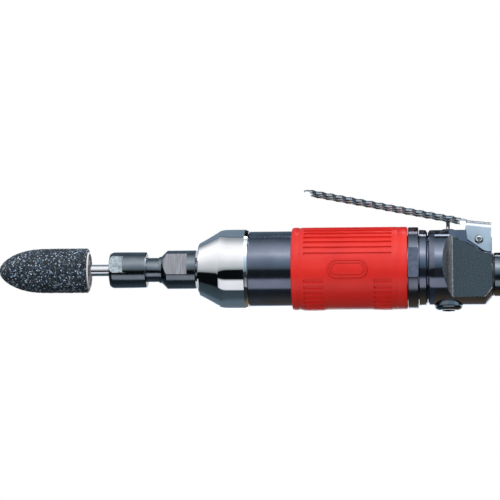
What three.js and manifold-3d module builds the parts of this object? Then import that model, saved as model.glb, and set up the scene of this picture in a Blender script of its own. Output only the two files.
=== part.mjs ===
import * as THREE from 'three';
import { mergeVertices, toCreasedNormals } from 'three/addons/utils/BufferGeometryUtils.js';
import Module from 'manifold-3d';

// Millimetres. X runs along the spindle: the mounted point is at -X and the air inlet at +X.
// Z is up, towards the throttle lever. The origin is on the spindle axis, midway along the grip.

// ---- fits -------------------------------------------------------------------------------------
const RUN = 0.08;            // radial running clearance of turning fits
const FIT = 0.1;             // clearance of pushed-together fits
const GAP = 0.3;             // gap between neighbouring faces

// ---- housing, grip and rings, from which the rest is placed -------------------------------------
const BORE_R = 16.9;         // bore of the motor housing
const HOUSING_WALL = 2.4;
const HOUSING_R = BORE_R + HOUSING_WALL;
const TUBE_SHOWN = 21.5;     // bare tube between cap and sleeve
const SLEEVE_LEN = 60.2;
const SLEEVE_WALL = 2.0;
const SLEEVE_INNER_R = HOUSING_R - 0.2;
const SLEEVE_R = SLEEVE_INNER_R + SLEEVE_WALL;
const SLEEVE_TURN = -9;      // turn of the sleeve's pattern about X, degrees
const RIB_PITCH = 9.4;       // degrees
const RIB_GROOVE_W = 1.1;
const RIB_GROOVE_DEPTH = 0.6;
const BADGE_HALF_LEN = 10.4;
const BADGE_HALF_H = 5;
const RING_WALL = 3.95;
const RING_R = BORE_R + RING_WALL;
const RING_FLATS = 2 * RING_R - 2.9;
const RING_LEN = 5.3;
const RING_FRONT_X = SLEEVE_LEN / 2 + GAP;
const EXHAUST_RING_LEN = 4.2;

// ---- nose cap ---------------------------------------------------------------------------------
const CAP_LEN = 26;
const CAP_R = HOUSING_R + 1.1;
const CAP_REAR_X = -SLEEVE_LEN / 2 - GAP - TUBE_SHOWN;
const CAP_FRONT_X = CAP_REAR_X - CAP_LEN;

// ---- spindle, nut and collet --------------------------------------------------------------------
const COLLAR_LEN = 18.9;
const COLLAR_R = 9.95;
const COLLAR_FLATS = 16.4;
const COLLAR_FRONT_X = CAP_FRONT_X - GAP - COLLAR_LEN;
const NECK_SHOWN = 6.7;      // spindle nose seen between nut and collar
const NUT_LEN = 19.3;
const NUT_FRONT_X = COLLAR_FRONT_X - NECK_SHOWN - NUT_LEN;
const FRONT_JOURNAL_R = 6.0;
const ROTOR_SHAFT_R = 5.0;
const REAR_JOURNAL_R = 4.0;
const FLAT_TURN = 13;        // turn of the spindle's wrench flats about X, degrees

// ---- mounted point: the nut, collet and nose grow with its shank ------------------------------------
const SHANK_R = 3.0;
const SHANK_SHOWN = 10.5;
const SHANK_HELD = 31.1;     // shank inside the collet and spindle
const SHANK_END_X = NUT_FRONT_X + SHANK_HELD;
const STONE_R = 11.6;
const STONE_LEN = 47.3;
const STONE_BACK_X = NUT_FRONT_X - SHANK_SHOWN;
const STONE_SOCKET = 36;     // how deep the shank is cemented into the stone
const COLLET_R = SHANK_R + 1.75;
const COLLET_TAPER = 0.053;
const NOSE_R = COLLET_R + 1.5;
const NUT_R = NOSE_R + 3.05;
const NUT_FLATS = 2 * NUT_R - 2.5;

// ---- air motor --------------------------------------------------------------------------------
const MOTOR_R = BORE_R - GAP;
const CYL_WALL = 2.6;        // mean wall of the eccentric cylinder
const CYL_BORE_R = MOTOR_R - CYL_WALL;
const ECCENTRIC = 1.2;
const ROTOR_R = CYL_BORE_R - ECCENTRIC - 0.2;
const CYL_LEN = 48;
const VANE_COUNT = 5;
const VANE_T = 1.8;
const VANE_DEPTH = ROTOR_R - ROTOR_SHAFT_R - 1.8;
const FRONT_BEARING_R = MOTOR_R - 4.6;
const FRONT_BEARING_W = 6;
const REAR_BEARING_R = MOTOR_R - 5.6;
const REAR_BEARING_W = 7;
const FRONT_PLATE_LEN = 12.4;
const frontBearingX = CAP_FRONT_X + 5.5;
const frontPlateRearX = frontBearingX + FRONT_PLATE_LEN;
const CYL_FRONT_X = frontPlateRearX + GAP;

// ---- valve body -------------------------------------------------------------------------------
const BODY_LEN = 32.4;
const BODY_R = HOUSING_R;
const BODY_FRONT_X = RING_FRONT_X + RING_LEN + GAP + EXHAUST_RING_LEN + GAP;
const BODY_REAR_X = BODY_FRONT_X + BODY_LEN;
const SPIGOT_LEN = 27.5;     // threaded spigot inside the rings and the housing
const spigotX = BODY_FRONT_X - SPIGOT_LEN;
const CHEEK_Y = 10;          // half the distance across the body's flat cheeks
const STEM_FROM_FRONT = 10.3;
const STEM_X = BODY_FRONT_X + STEM_FROM_FRONT;
const STEM_R = 0.95;
const CHEEK_X = STEM_X + 1.5;
const LUG_HALF_W = 5.2;
const LUG_TOP_Z = BODY_R;
const SEAT_Z = 2.6;
const CHAMBER_R = 5.2;
const PLUG_R = CHAMBER_R + 0.9;
const PLUG_HEAD_R = PLUG_R + 0.9;
const INLET_Z = -3.75;
const INLET_R = 11.2;
const INLET_THREAD_R = 8.0;
const INLET_LEN = 15;

// ---- throttle lever ---------------------------------------------------------------------------
const PIVOT_FROM_STEM = 15.6;
const PIVOT_X = STEM_X + PIVOT_FROM_STEM;
const PIVOT_Z = LUG_TOP_Z - 5.8;
const PIN_R = 2.0;
const LEVER_T = 1.2;
const LEVER_W = 12.6;
const LEVER_REACH = 92.9;    // pivot to tip, along the lever
const LEVER_SLOPE = 11.3;    // degrees
const LEVER_LIFT = 7.8;      // pivot centre to the underside of the lever, square to it
const EAR_IN_Y = LUG_HALF_W + GAP;

const wasm = await Module();
wasm.setup();
const group = new THREE.Group();
group.name = 'die_grinder';

// ---- shared shape helpers ---------------------------------------------------------------------
const rad = THREE.MathUtils.degToRad;

function toManifold(geometry) {
  const bare = geometry.clone();
  bare.deleteAttribute('normal');
  bare.deleteAttribute('uv');
  const joined = mergeVertices(bare, 1e-4);
  const position = joined.attributes.position;
  const corners = [];
  let volume = 0;
  const point = [new THREE.Vector3(), new THREE.Vector3(), new THREE.Vector3()];
  for (let i = 0; i < joined.index.count; i += 3) {
    const tri = [0, 1, 2].map((k) => joined.index.getX(i + k));
    if (tri[0] === tri[1] || tri[1] === tri[2] || tri[0] === tri[2]) {
      continue;
    }
    tri.forEach((index, k) => point[k].fromBufferAttribute(position, index));
    volume += point[0].dot(point[1].clone().cross(point[2]));
    corners.push(...tri);
  }
  if (volume < 0) {
    for (let i = 0; i < corners.length; i += 3) {
      [corners[i], corners[i + 1]] = [corners[i + 1], corners[i]];
    }
  }
  const mesh = new wasm.Mesh({
    numProp: 3,
    vertProperties: new Float32Array(position.array),
    triVerts: new Uint32Array(corners),
  });
  return new wasm.Manifold(mesh);
}

function toGeometry(solid) {
  const mesh = solid.getMesh();
  const geometry = new THREE.BufferGeometry();
  geometry.setAttribute('position', new THREE.BufferAttribute(mesh.vertProperties, 3));
  geometry.setIndex(new THREE.BufferAttribute(mesh.triVerts, 1));
  return geometry;
}

function addPart(name, solid, look) {
  const geometry = toCreasedNormals(toGeometry(solid), rad(28));
  const [color, roughness, metalness] = look;
  const material = new THREE.MeshStandardMaterial({ color, roughness, metalness });
  material.name = `${name}_material`;
  const mesh = new THREE.Mesh(geometry, material);
  mesh.name = name;
  group.add(mesh);
}

// A profile of [x, radius] pairs turned about the X axis.
function turned(profile, sides) {
  const closed = profile[0][1] > 0 ? [...profile, profile[0]] : profile;
  const points = closed.map(([x, r]) => new THREE.Vector2(r, x));
  const geometry = new THREE.LatheGeometry(points, sides);
  geometry.rotateZ(-Math.PI / 2);
  return toManifold(geometry);
}

// A profile of [z, radius] pairs turned about a vertical axis at (x, 0).
function turnedUp(profile, sides, x) {
  return turned(profile, sides).rotate([0, -90, 0]).translate([x, 0, 0]);
}

function ringX(x0, x1, inner, outer, sides) {
  return turned([[x0, inner], [x0, outer], [x1, outer], [x1, inner]], sides);
}

function rodX(x0, x1, radius, sides) {
  return turned([[x0, 0], [x0, radius], [x1, radius], [x1, 0]], sides);
}

function rodZ(z0, z1, radius, sides, x) {
  return turnedUp([[z0, 0], [z0, radius], [z1, radius], [z1, 0]], sides, x);
}

function rodY(y0, y1, radius, sides, x, z) {
  return rodX(y0, y1, radius, sides).rotate([0, 0, 90]).translate([x, 0, z]);
}

function box(x0, x1, y0, y1, z0, z1) {
  const geometry = new THREE.BoxGeometry(x1 - x0, y1 - y0, z1 - z0);
  geometry.translate((x0 + x1) / 2, (y0 + y1) / 2, (z0 + z1) / 2);
  return toManifold(geometry);
}

function extruded(outline, depth, holes = []) {
  const shape = new THREE.Shape(outline.map(([a, b]) => new THREE.Vector2(a, b)));
  holes.forEach((hole) => shape.holes.push(new THREE.Path(hole.map(([a, b]) => new THREE.Vector2(a, b)))));
  return toManifold(new THREE.ExtrudeGeometry(shape, { depth, bevelEnabled: false, steps: 1 }));
}

// An outline in X and Z, as thick as the span y0 to y1.
function plateXZ(outline, y0, y1) {
  return extruded(outline, y1 - y0).rotate([90, 0, 0]).translate([0, y1, 0]);
}

// An outline in X and Y, standing from z0 to z1.
function plateXY(outline, z0, z1) {
  return extruded(outline, z1 - z0).translate([0, 0, z0]);
}

// An outline in Y and Z, running from x0 to x1.
function barX(outline, x0, x1, holes = []) {
  return extruded(outline, x1 - x0, holes).rotate([90, 0, 90]).translate([x0, 0, 0]);
}

function circle(radius, sides, turn = 0) {
  const points = [];
  for (let i = 0; i < sides; i += 1) {
    const angle = turn + (2 * Math.PI * i) / sides;
    points.push([radius * Math.cos(angle), radius * Math.sin(angle)]);
  }
  return points;
}

// Two opposite wrench flats, cut square to Y and then turned about X.
function wrenchFlats(x0, x1, across, reach, turn) {
  const side = box(x0, x1, -reach, -across / 2, -reach, reach);
  return side.add(side.rotate([180, 0, 0])).rotate([-turn, 0, 0]);
}

// ---- finishes: colour, roughness, metalness ---------------------------------------------------
const CHROME = ['#d8dadd', 0.12, 1];
const BRIGHT_STEEL = ['#b9bcc0', 0.3, 1];
const DARK_STEEL = ['#474a52', 0.35, 0.9];
const BLACK_PAINT = ['#2a3036', 0.5, 0.3];
const RED_RUBBER = ['#d5281f', 0.5, 0];
const BLACK_RUBBER = ['#1b1b1d', 0.8, 0];
const CAST_STEEL = ['#80848a', 0.5, 0.9];
const BRASS = ['#b5914c', 0.35, 1];
const FELT = ['#cfc9b8', 0.95, 0];
const ABRASIVE = ['#2c2d35', 0.95, 0];
const PHENOLIC = ['#6b4a2c', 0.7, 0];

// ---- mounted point ----------------------------------------------------------------------------
function buildStone() {
  const tip = STONE_BACK_X - STONE_LEN;
  const curve = [[0, 0], [0.25, 0.14], [1.1, 0.3], [2.3, 0.42], [4.2, 0.56], [6.4, 0.66], [9.5, 0.78],
    [13.5, 0.89], [20, 0.97], [28, 1], [STONE_LEN - 0.9, 1], [STONE_LEN, 0.96]];
  const profile = curve.map(([dx, share]) => [tip + dx, share * STONE_R]);
  const hole = SHANK_R + FIT;
  profile.push([STONE_BACK_X, 0.8 * STONE_R]);
  profile.push([STONE_BACK_X - 1.2, 0.66 * STONE_R]);
  profile.push([STONE_BACK_X - 1.2, hole]);
  profile.push([STONE_BACK_X - STONE_SOCKET, hole]);
  profile.push([STONE_BACK_X - STONE_SOCKET, 0]);
  addPart('grinding_stone', turned(profile, 36), ABRASIVE);
}

function buildShank() {
  const front = STONE_BACK_X - STONE_SOCKET + GAP;
  const profile = [[front, 0], [front, SHANK_R], [SHANK_END_X - 0.6, SHANK_R],
    [SHANK_END_X, SHANK_R - 0.6], [SHANK_END_X, 0]];
  addPart('stone_shank', turned(profile, 24), BRIGHT_STEEL);
}

// ---- collet and nut ---------------------------------------------------------------------------
const colletShoulderX = NUT_FRONT_X + 6.5;
const colletRearX = colletShoulderX + 15.1;
const colletBore = SHANK_R + 0.06;
const colletRearR = COLLET_R - COLLET_TAPER * 15.1;

function buildCollet() {
  const front = NUT_FRONT_X + 0.7;
  const profile = [[front, colletBore], [front, COLLET_R - 0.45], [front + 2.2, COLLET_R + 0.6],
    [colletShoulderX - 1, COLLET_R + 0.6], [colletShoulderX, COLLET_R],
    [colletRearX, colletRearR], [colletRearX, colletBore]];
  let solid = turned(profile, 36);
  for (let i = 0; i < 3; i += 1) {
    const slot = box(front - 1, colletRearX - 3.5, -0.35, 0.35, 0, COLLET_R + 2);
    solid = solid.subtract(slot.rotate([30 + i * 120, 0, 0]));
  }
  addPart('collet', solid, BRIGHT_STEEL);
}

function buildColletNut() {
  const x = NUT_FRONT_X;
  const rear = x + NUT_LEN;
  const profile = [[x, COLLET_R - 0.45 - 0.16], [x, NUT_R - 1.7], [x + 0.35, NUT_R - 0.95],
    [x + 1.1, NUT_R - 0.4], [x + 2.3, NUT_R], [rear - 0.6, NUT_R - 0.1], [rear, NUT_R - 0.6],
    [rear, NOSE_R + FIT], [x + 7.8, NOSE_R + FIT], [x + 6, COLLET_R + 0.82],
    [x + 3, COLLET_R + 0.82]];
  const flats = wrenchFlats(x - 1, x + 6.4, NUT_FLATS, NUT_R + 2, FLAT_TURN + 1);
  addPart('collet_nut', turned(profile, 36).subtract(flats), DARK_STEEL);
}

// ---- spindle, rotor and vanes -----------------------------------------------------------------
const collarRearX = COLLAR_FRONT_X + COLLAR_LEN;
const rotorFrontX = CYL_FRONT_X + GAP;
const rotorRearX = CYL_FRONT_X + CYL_LEN - GAP;
const rearPlateFrontX = CYL_FRONT_X + CYL_LEN + GAP;
const rearBearingX = rearPlateFrontX + 4;
const spindleRearX = rearBearingX + REAR_BEARING_W + 1;

function buildSpindle() {
  const nose = NUT_FRONT_X + 8.3;
  const socketR = COLLET_R - COLLET_TAPER * (nose - colletShoulderX) + 0.12;
  const socketEndX = colletRearX + 0.4;
  const c = COLLAR_FRONT_X;
  const profile = [
    [nose, socketR], [nose, NOSE_R - 0.5], [nose + 0.5, NOSE_R], [c - 1.2, NOSE_R], [c, NOSE_R + 0.4],
    [c + 3.9, COLLAR_R], [collarRearX - 1, COLLAR_R], [collarRearX - 0.8, COLLAR_R - 0.25],
    [collarRearX - 0.5, COLLAR_R], [collarRearX - 0.15, COLLAR_R], [collarRearX, COLLAR_R - 0.3],
    [collarRearX, FRONT_JOURNAL_R], [frontBearingX + FRONT_BEARING_W, FRONT_JOURNAL_R],
    [frontBearingX + FRONT_BEARING_W, ROTOR_SHAFT_R], [rotorRearX, ROTOR_SHAFT_R],
    [rotorRearX, REAR_JOURNAL_R], [spindleRearX - 0.5, REAR_JOURNAL_R],
    [spindleRearX, REAR_JOURNAL_R - 0.5], [spindleRearX, 0], [SHANK_END_X + 2, 0],
    [SHANK_END_X + 2, SHANK_R + 0.15], [socketEndX, SHANK_R + 0.15],
    [socketEndX, colletRearR + 0.1],
  ];
  const flats = wrenchFlats(c - 1, c + 13.9, COLLAR_FLATS, COLLAR_R + 2, FLAT_TURN);
  addPart('spindle', turned(profile, 36).subtract(flats), DARK_STEEL);
}

function buildRotor() {
  const outline = [];
  const steps = 8;
  const half = VANE_T / 2 + FIT;
  const lip = Math.asin(half / ROTOR_R);
  const slotFloor = ROTOR_R - VANE_DEPTH - 0.6;
  for (let i = 0; i < VANE_COUNT; i += 1) {
    const turn = (2 * Math.PI * i) / VANE_COUNT;
    const next = turn + (2 * Math.PI) / VANE_COUNT;
    const at = (along, side) => [along * Math.cos(turn) - side * Math.sin(turn),
      along * Math.sin(turn) + side * Math.cos(turn)];
    outline.push(at(slotFloor, -half), at(slotFloor, half));
    for (let k = 0; k <= steps; k += 1) {
      const angle = turn + lip + ((next - turn - 2 * lip) * k) / steps;
      outline.push([ROTOR_R * Math.cos(angle), ROTOR_R * Math.sin(angle)]);
    }
  }
  const solid = barX(outline, rotorFrontX, rotorRearX, [circle(ROTOR_SHAFT_R + 0.05, 36).reverse()]);
  addPart('rotor', solid, CAST_STEEL);
}

function buildVanes() {
  const top = ROTOR_R - 0.3;
  for (let i = 0; i < VANE_COUNT; i += 1) {
    const vane = box(rotorFrontX + 0.2, rotorRearX - 0.2, top - VANE_DEPTH, top, -VANE_T / 2, VANE_T / 2);
    addPart(`rotor_vane_${i + 1}`, vane.rotate([(360 * i) / VANE_COUNT, 0, 0]), PHENOLIC);
  }
}

// ---- bearings ---------------------------------------------------------------------------------
function buildBearing(name, x, width, inner, outer, ballCount) {
  const pitch = (inner + outer) / 2;
  const ballR = (outer - inner) * 0.3;
  const race = ballR + 0.12;
  const mid = x + width / 2;
  const bow = [-0.5, 0, 0.5].map((k) => [race * Math.sin(k * 1.7), race * Math.cos(k * 1.7)]);
  const outerRace = [[x, outer], [x + width, outer], [x + width, pitch + ballR * 0.6],
    ...bow.slice().reverse().map(([dx, dr]) => [mid + dx, pitch + dr]), [x, pitch + ballR * 0.6]];
  const innerRace = [[x, inner], [x + width, inner], [x + width, pitch - ballR * 0.6],
    ...bow.slice().reverse().map(([dx, dr]) => [mid + dx, pitch - dr]), [x, pitch - ballR * 0.6]];
  addPart(`${name}_outer`, turned(outerRace, 28), BRIGHT_STEEL);
  addPart(`${name}_inner`, turned(innerRace, 28), BRIGHT_STEEL);
  let balls = ringX(mid - ballR * 0.45, mid + ballR * 0.45, pitch - 0.35, pitch + 0.35, ballCount * 3);
  for (let i = 0; i < ballCount; i += 1) {
    const geometry = new THREE.SphereGeometry(ballR, 8, 5);
    geometry.translate(mid, 0, pitch);
    balls = balls.add(toManifold(geometry).rotate([(360 * i) / ballCount, 0, 0]));
  }
  addPart(`${name}_balls`, balls, BRIGHT_STEEL);
}

// ---- air motor --------------------------------------------------------------------------------
const dowelZ = -(MOTOR_R + CYL_BORE_R - ECCENTRIC) / 2;
const dowelR = 0.9;

function buildFrontPlate() {
  const x = frontBearingX;
  const pocket = x + FRONT_BEARING_W + GAP;
  const lip = FRONT_BEARING_R + 1.3;
  const profile = [[x, FRONT_BEARING_R + FIT], [x, lip], [x + 4.2, lip], [frontPlateRearX - 6, MOTOR_R - 1.2],
    [frontPlateRearX - 5.4, MOTOR_R], [frontPlateRearX, MOTOR_R], [frontPlateRearX, ROTOR_SHAFT_R + 0.3],
    [pocket + 1.5, ROTOR_SHAFT_R + 0.3], [pocket + 1.5, FRONT_BEARING_R - 2.5],
    [pocket, FRONT_BEARING_R - 2.5], [pocket, FRONT_BEARING_R + FIT]];
  const hole = rodX(frontPlateRearX - 2.6, frontPlateRearX + 1, dowelR + FIT, 16).translate([0, 0, dowelZ]);
  addPart('front_end_plate', turned(profile, 32).subtract(hole), CAST_STEEL);
}

function buildCylinder() {
  const end = CYL_FRONT_X + CYL_LEN;
  let solid = rodX(CYL_FRONT_X, end, MOTOR_R, 40);
  solid = solid.subtract(rodX(CYL_FRONT_X - 1, end + 1, CYL_BORE_R, 40).translate([0, 0, ECCENTRIC]));
  for (let i = 0; i < 4; i += 1) {
    const port = rodZ(CYL_BORE_R - 2, MOTOR_R + 2, 1.3, 12, CYL_FRONT_X + 9 + i * 10);
    solid = solid.subtract(port.rotate([50, 0, 0]));
  }
  const hole = rodX(CYL_FRONT_X - 1, CYL_FRONT_X + 2.6, dowelR + FIT, 16).translate([0, 0, dowelZ]);
  addPart('motor_cylinder', solid.subtract(hole), CAST_STEEL);
}

function buildDowel() {
  const pin = rodX(frontPlateRearX - 2.3, CYL_FRONT_X + 2.3, dowelR, 16).translate([0, 0, dowelZ]);
  addPart('locating_pin', pin, BRIGHT_STEEL);
}

function buildRearPlate() {
  const x = rearPlateFrontX;
  const end = rearBearingX + REAR_BEARING_W;
  const pocket = rearBearingX - GAP;
  const profile = [[x, REAR_JOURNAL_R + 0.3], [x, MOTOR_R], [end, MOTOR_R], [end, REAR_BEARING_R + FIT],
    [pocket, REAR_BEARING_R + FIT], [pocket, REAR_BEARING_R - 2.2], [pocket - 1.2, REAR_BEARING_R - 2.2],
    [pocket - 1.2, REAR_JOURNAL_R + 0.3]];
  addPart('rear_end_plate', turned(profile, 32), CAST_STEEL);
}

const washerX = rearBearingX + REAR_BEARING_W + 0.9;

function buildWaveWasher() {
  const points = [[MOTOR_R - 3.4, -0.25], [MOTOR_R - 0.3, -0.25], [MOTOR_R - 0.3, 0.25],
    [MOTOR_R - 3.4, 0.25], [MOTOR_R - 3.4, -0.25]].map(([r, x]) => new THREE.Vector2(r, x));
  const geometry = new THREE.LatheGeometry(points, 36);
  geometry.rotateZ(-Math.PI / 2);
  const position = geometry.attributes.position;
  for (let i = 0; i < position.count; i += 1) {
    const angle = Math.atan2(position.getZ(i), position.getY(i));
    position.setX(i, position.getX(i) + washerX + 0.35 * Math.sin(3 * angle));
  }
  addPart('wave_washer', toManifold(geometry), BRIGHT_STEEL);
}

const spacerX = washerX + 0.9;

function buildSpacer() {
  const end = spigotX - GAP;
  addPart('rear_spacer', ringX(spacerX, end, MOTOR_R - 2.8, MOTOR_R, 32), CAST_STEEL);
  addPart('silencer_felt', ringX(spacerX + 0.4, end - 0.4, MOTOR_R - 9, MOTOR_R - 2.8 - GAP, 32), FELT);
}

// ---- housing, cap and grip --------------------------------------------------------------------
const sleeveX = -SLEEVE_LEN / 2;

function buildHousing() {
  const underR = SLEEVE_INNER_R - FIT * 2;
  const threadX = CAP_REAR_X - 11.6;
  const profile = [[threadX, BORE_R], [threadX, HOUSING_R - 1.7], [threadX + 0.5, HOUSING_R - 1.2],
    [CAP_REAR_X + GAP, HOUSING_R - 1.2], [CAP_REAR_X + GAP, HOUSING_R - 0.2],
    [CAP_REAR_X + GAP + 0.3, HOUSING_R], [sleeveX - GAP, HOUSING_R], [sleeveX - GAP, underR],
    [-sleeveX, underR], [-sleeveX, BORE_R]];
  addPart('motor_housing', turned(profile, 40), DARK_STEEL);
}

function buildCap() {
  const x = CAP_FRONT_X;
  const hole = FRONT_JOURNAL_R + 1;
  const dome = [[0, 9], [0.3, 8.5], [1, 8.05], [2.2, 6.65], [3.6, 5.45], [6.1, 4.1], [8.6, 2.9],
    [11.2, 1.65], [12.7, 0.8], [13.8, 0.3], [16.2, 0.05], [CAP_LEN - 2, 0]];
  const profile = [[x, hole], ...dome.map(([dx, drop]) => [x + dx, CAP_R - drop])];
  const skirt = HOUSING_R - 1.2 + FIT * 2;
  profile.push([CAP_REAR_X, CAP_R - 0.9]);
  profile.push([CAP_REAR_X, skirt]);
  profile.push([CAP_REAR_X - 12.1, skirt]);
  profile.push([CAP_REAR_X - 12.1, BORE_R]);
  profile.push([x + 11.6, BORE_R]);
  profile.push([x + 5.1, MOTOR_R - 2.9]);
  profile.push([x + 2.9, MOTOR_R - 4.4]);
  profile.push([x + 2.9, hole]);
  addPart('nose_cap', turned(profile, 40), CHROME);
}

function buildDustSeal() {
  const x = CAP_FRONT_X + 3.1;
  addPart('dust_seal', ringX(x, frontBearingX - 0.2, FRONT_JOURNAL_R + GAP, MOTOR_R - 4.7, 32), FELT);
}

// A stadium standing out towards -Y, turned with the sleeve's pattern.
function stadium(halfLength, halfHeight) {
  const points = [];
  const reach = halfLength - halfHeight;
  for (let i = 0; i <= 12; i += 1) {
    const angle = -Math.PI / 2 + (Math.PI * i) / 12;
    points.push([reach + halfHeight * Math.cos(angle), halfHeight * Math.sin(angle)]);
  }
  for (let i = 0; i <= 12; i += 1) {
    const angle = Math.PI / 2 + (Math.PI * i) / 12;
    points.push([-reach + halfHeight * Math.cos(angle), halfHeight * Math.sin(angle)]);
  }
  return plateXZ(points, -30, -10).rotate([-SLEEVE_TURN, 0, 0]);
}

function buildSleeve() {
  const half = SLEEVE_LEN / 2;
  const r = SLEEVE_R;
  const outer = [[-half, r - 0.8], [-half + 0.5, r - 0.1], [-half + 1.2, r + 0.1], [-half + 3.9, r + 0.1],
    [-half + 4.5, r - 0.2], [-half + 5.7, r - 0.2], [-half + 7, r + 0.3], [-half + 15, r + 0.4],
    [-half + 19.5, r], [half - 17, r], [half - 12, r + 0.2], [half - 8, r + 0.2], [half - 7, r],
    [half - 0.6, r], [half, r - 0.5]];
  const profile = [...outer, [half, SLEEVE_INNER_R], [-half, SLEEVE_INNER_R]];
  let solid = turned(profile, 40);
  const floor = r - RIB_GROOVE_DEPTH;
  const cut = (x0, x1, angle) => {
    const groove = box(x0, x1, -r - 2, -floor, -RIB_GROOVE_W / 2, RIB_GROOVE_W / 2);
    solid = solid.subtract(groove.rotate([-angle - SLEEVE_TURN, 0, 0]));
  };
  const first = 20.6;
  const count = Math.round((180 - 2 * first) / RIB_PITCH);
  const pitch = (180 - 2 * first) / count;
  for (let i = 0; i <= count; i += 1) {
    cut(-half + 7.7, half - 7.9, first + i * pitch);
    cut(-half + 7.7, -half + 17.7, -first - i * pitch);
    cut(half - 16.9, half - 7.9, -first - i * pitch);
  }
  const reach = BADGE_HALF_LEN + 2;
  const shell = ringX(-reach, reach, SLEEVE_R - 0.5, SLEEVE_R + 4, 40);
  solid = solid.subtract(stadium(BADGE_HALF_LEN + 0.15, BADGE_HALF_H + 0.15).intersect(shell));
  addPart('grip_sleeve', solid, RED_RUBBER);
}

function buildBadge() {
  const reach = BADGE_HALF_LEN + 2;
  const shell = ringX(-reach, reach, SLEEVE_R - 0.35, SLEEVE_R + 0.25, 40);
  addPart('grip_badge', stadium(BADGE_HALF_LEN, BADGE_HALF_H).intersect(shell), RED_RUBBER);
}

// ---- rings behind the grip --------------------------------------------------------------------
const exhaustRingX = RING_FRONT_X + RING_LEN + GAP;

function buildRings() {
  const a = RING_FRONT_X;
  const b = a + RING_LEN;
  const lock = turned([[a, BORE_R], [a, RING_R - 0.3], [a + 0.3, RING_R], [b - 0.4, RING_R],
    [b, RING_R - 0.5], [b, BORE_R]], 40);
  const flats = wrenchFlats(a - 1, b + 1, RING_FLATS, RING_R + 3, 0);
  addPart('lock_ring', lock.subtract(flats), DARK_STEEL);
  const c = exhaustRingX;
  const d = c + EXHAUST_RING_LEN;
  const ring = turned([[c, BORE_R], [c, BODY_R - 0.1], [c + 0.3, BODY_R + 0.2], [d - 0.8, BODY_R],
    [d, BODY_R - 1.2], [d, BORE_R]], 40);
  addPart('exhaust_ring', ring, DARK_STEEL);
}

// ---- valve body -------------------------------------------------------------------------------
const plugBoreR = PLUG_R + FIT;
const bushR = 3.4;
const seatTopZ = LUG_TOP_Z - 9.7;
const plugTopZ = -(BODY_R - 5);
const plugHeadZ = -(BODY_R - 1.6);
const exhaustZ = 8.2;
const shoulderSlope = -0.522;

function bodyOutside() {
  const a = BODY_FRONT_X;
  const b = BODY_REAR_X;
  const profile = [[spigotX, 0], [spigotX, MOTOR_R - 0.4], [spigotX + 0.5, MOTOR_R], [a, MOTOR_R],
    [a, BODY_R - 1.2], [a + 0.7, BODY_R - 0.1], [a + 1, BODY_R], [b - 3.8, BODY_R], [b - 3.2, BODY_R - 0.3],
    [b, BODY_R - 3.9], [b, 0]];
  let solid = turned(profile, 40);
  const slope = (BODY_R - CHEEK_Y) / 5.15;
  const outerX = CHEEK_X - (25 - CHEEK_Y) / slope;
  const top = BODY_R - 4.4;
  for (const side of [-1, 1]) {
    const y = side * CHEEK_Y;
    const outline = [[CHEEK_X, y], [b + 5, y], [b + 5, side * 25], [outerX, side * 25]];
    solid = solid.subtract(plateXY(side > 0 ? outline : outline.reverse(), -25, 25));
    const end = b + 3;
    const shoulder = [[CHEEK_X - 20, top - shoulderSlope * 20], [end, top + shoulderSlope * (end - CHEEK_X)],
      [end, 45], [CHEEK_X - 20, 45]];
    const y0 = side > 0 ? LUG_HALF_W : -25;
    solid = solid.subtract(plateXZ(shoulder, y0, y0 + 25 - LUG_HALF_W));
  }
  const c = 1.5;
  const z = LUG_TOP_Z;
  const section = [[-LUG_HALF_W, 5], [LUG_HALF_W, 5], [LUG_HALF_W, z - c], [LUG_HALF_W - c * 0.8, z],
    [-LUG_HALF_W + c * 0.8, z], [-LUG_HALF_W, z - c]];
  const profileXZ = [[STEM_X - 1.6, 5], [b, 5], [b, z - 4.8], [b - 2, z - 1.9], [b - 5.5, z + 1],
    [STEM_X - 1.6, z + 1]];
  const lug = barX(section, STEM_X - 1.6, b).intersect(plateXZ(profileXZ, -8, 8));
  return solid.add(lug);
}

function buildValveBody() {
  let solid = bodyOutside();
  const cuts = [
    rodZ(-BODY_R - 6, plugTopZ + 0.1, plugBoreR, 32, STEM_X),
    rodZ(-BODY_R - 6, plugHeadZ + GAP, PLUG_HEAD_R + GAP, 32, STEM_X),
    rodZ(plugTopZ, SEAT_Z, CHAMBER_R, 32, STEM_X),
    rodZ(SEAT_Z - 0.1, seatTopZ, 3.1, 32, STEM_X),
    rodZ(seatTopZ - 0.1, LUG_TOP_Z - 6.3, STEM_R + 0.65, 24, STEM_X),
    rodZ(LUG_TOP_Z - 7.3, LUG_TOP_Z + 6, bushR + 0.05, 32, STEM_X),
    rodX(STEM_X, BODY_REAR_X - 11, 3.6, 24).translate([0, 0, INLET_Z]),
    rodX(BODY_REAR_X - 12, BODY_REAR_X + 2, INLET_THREAD_R + FIT, 32).translate([0, 0, INLET_Z]),
    rodX(spigotX - 1, STEM_X, 2.4, 20).translate([0, 0, seatTopZ - 3.4]),
    rodX(spigotX - 1, spigotX + 12, 10.5, 32),
    rodX(spigotX + 2, BODY_REAR_X + 2, 1.5, 16).translate([0, 6.5, exhaustZ]),
    rodX(spigotX + 2, BODY_REAR_X + 2, 1.5, 16).translate([0, -6.5, exhaustZ]),
    rodY(-10, 10, PIN_R + RUN, 32, PIVOT_X, PIVOT_Z),
  ];
  cuts.forEach((cutter) => {
    solid = solid.subtract(cutter);
  });
  addPart('valve_body', solid, BLACK_PAINT);
}

// ---- throttle valve ---------------------------------------------------------------------------
const leverUnderZ = PIVOT_Z + LEVER_LIFT / Math.cos(rad(LEVER_SLOPE))
  + PIVOT_FROM_STEM * Math.tan(rad(LEVER_SLOPE));
const stemTopZ = leverUnderZ - 0.35;

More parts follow.
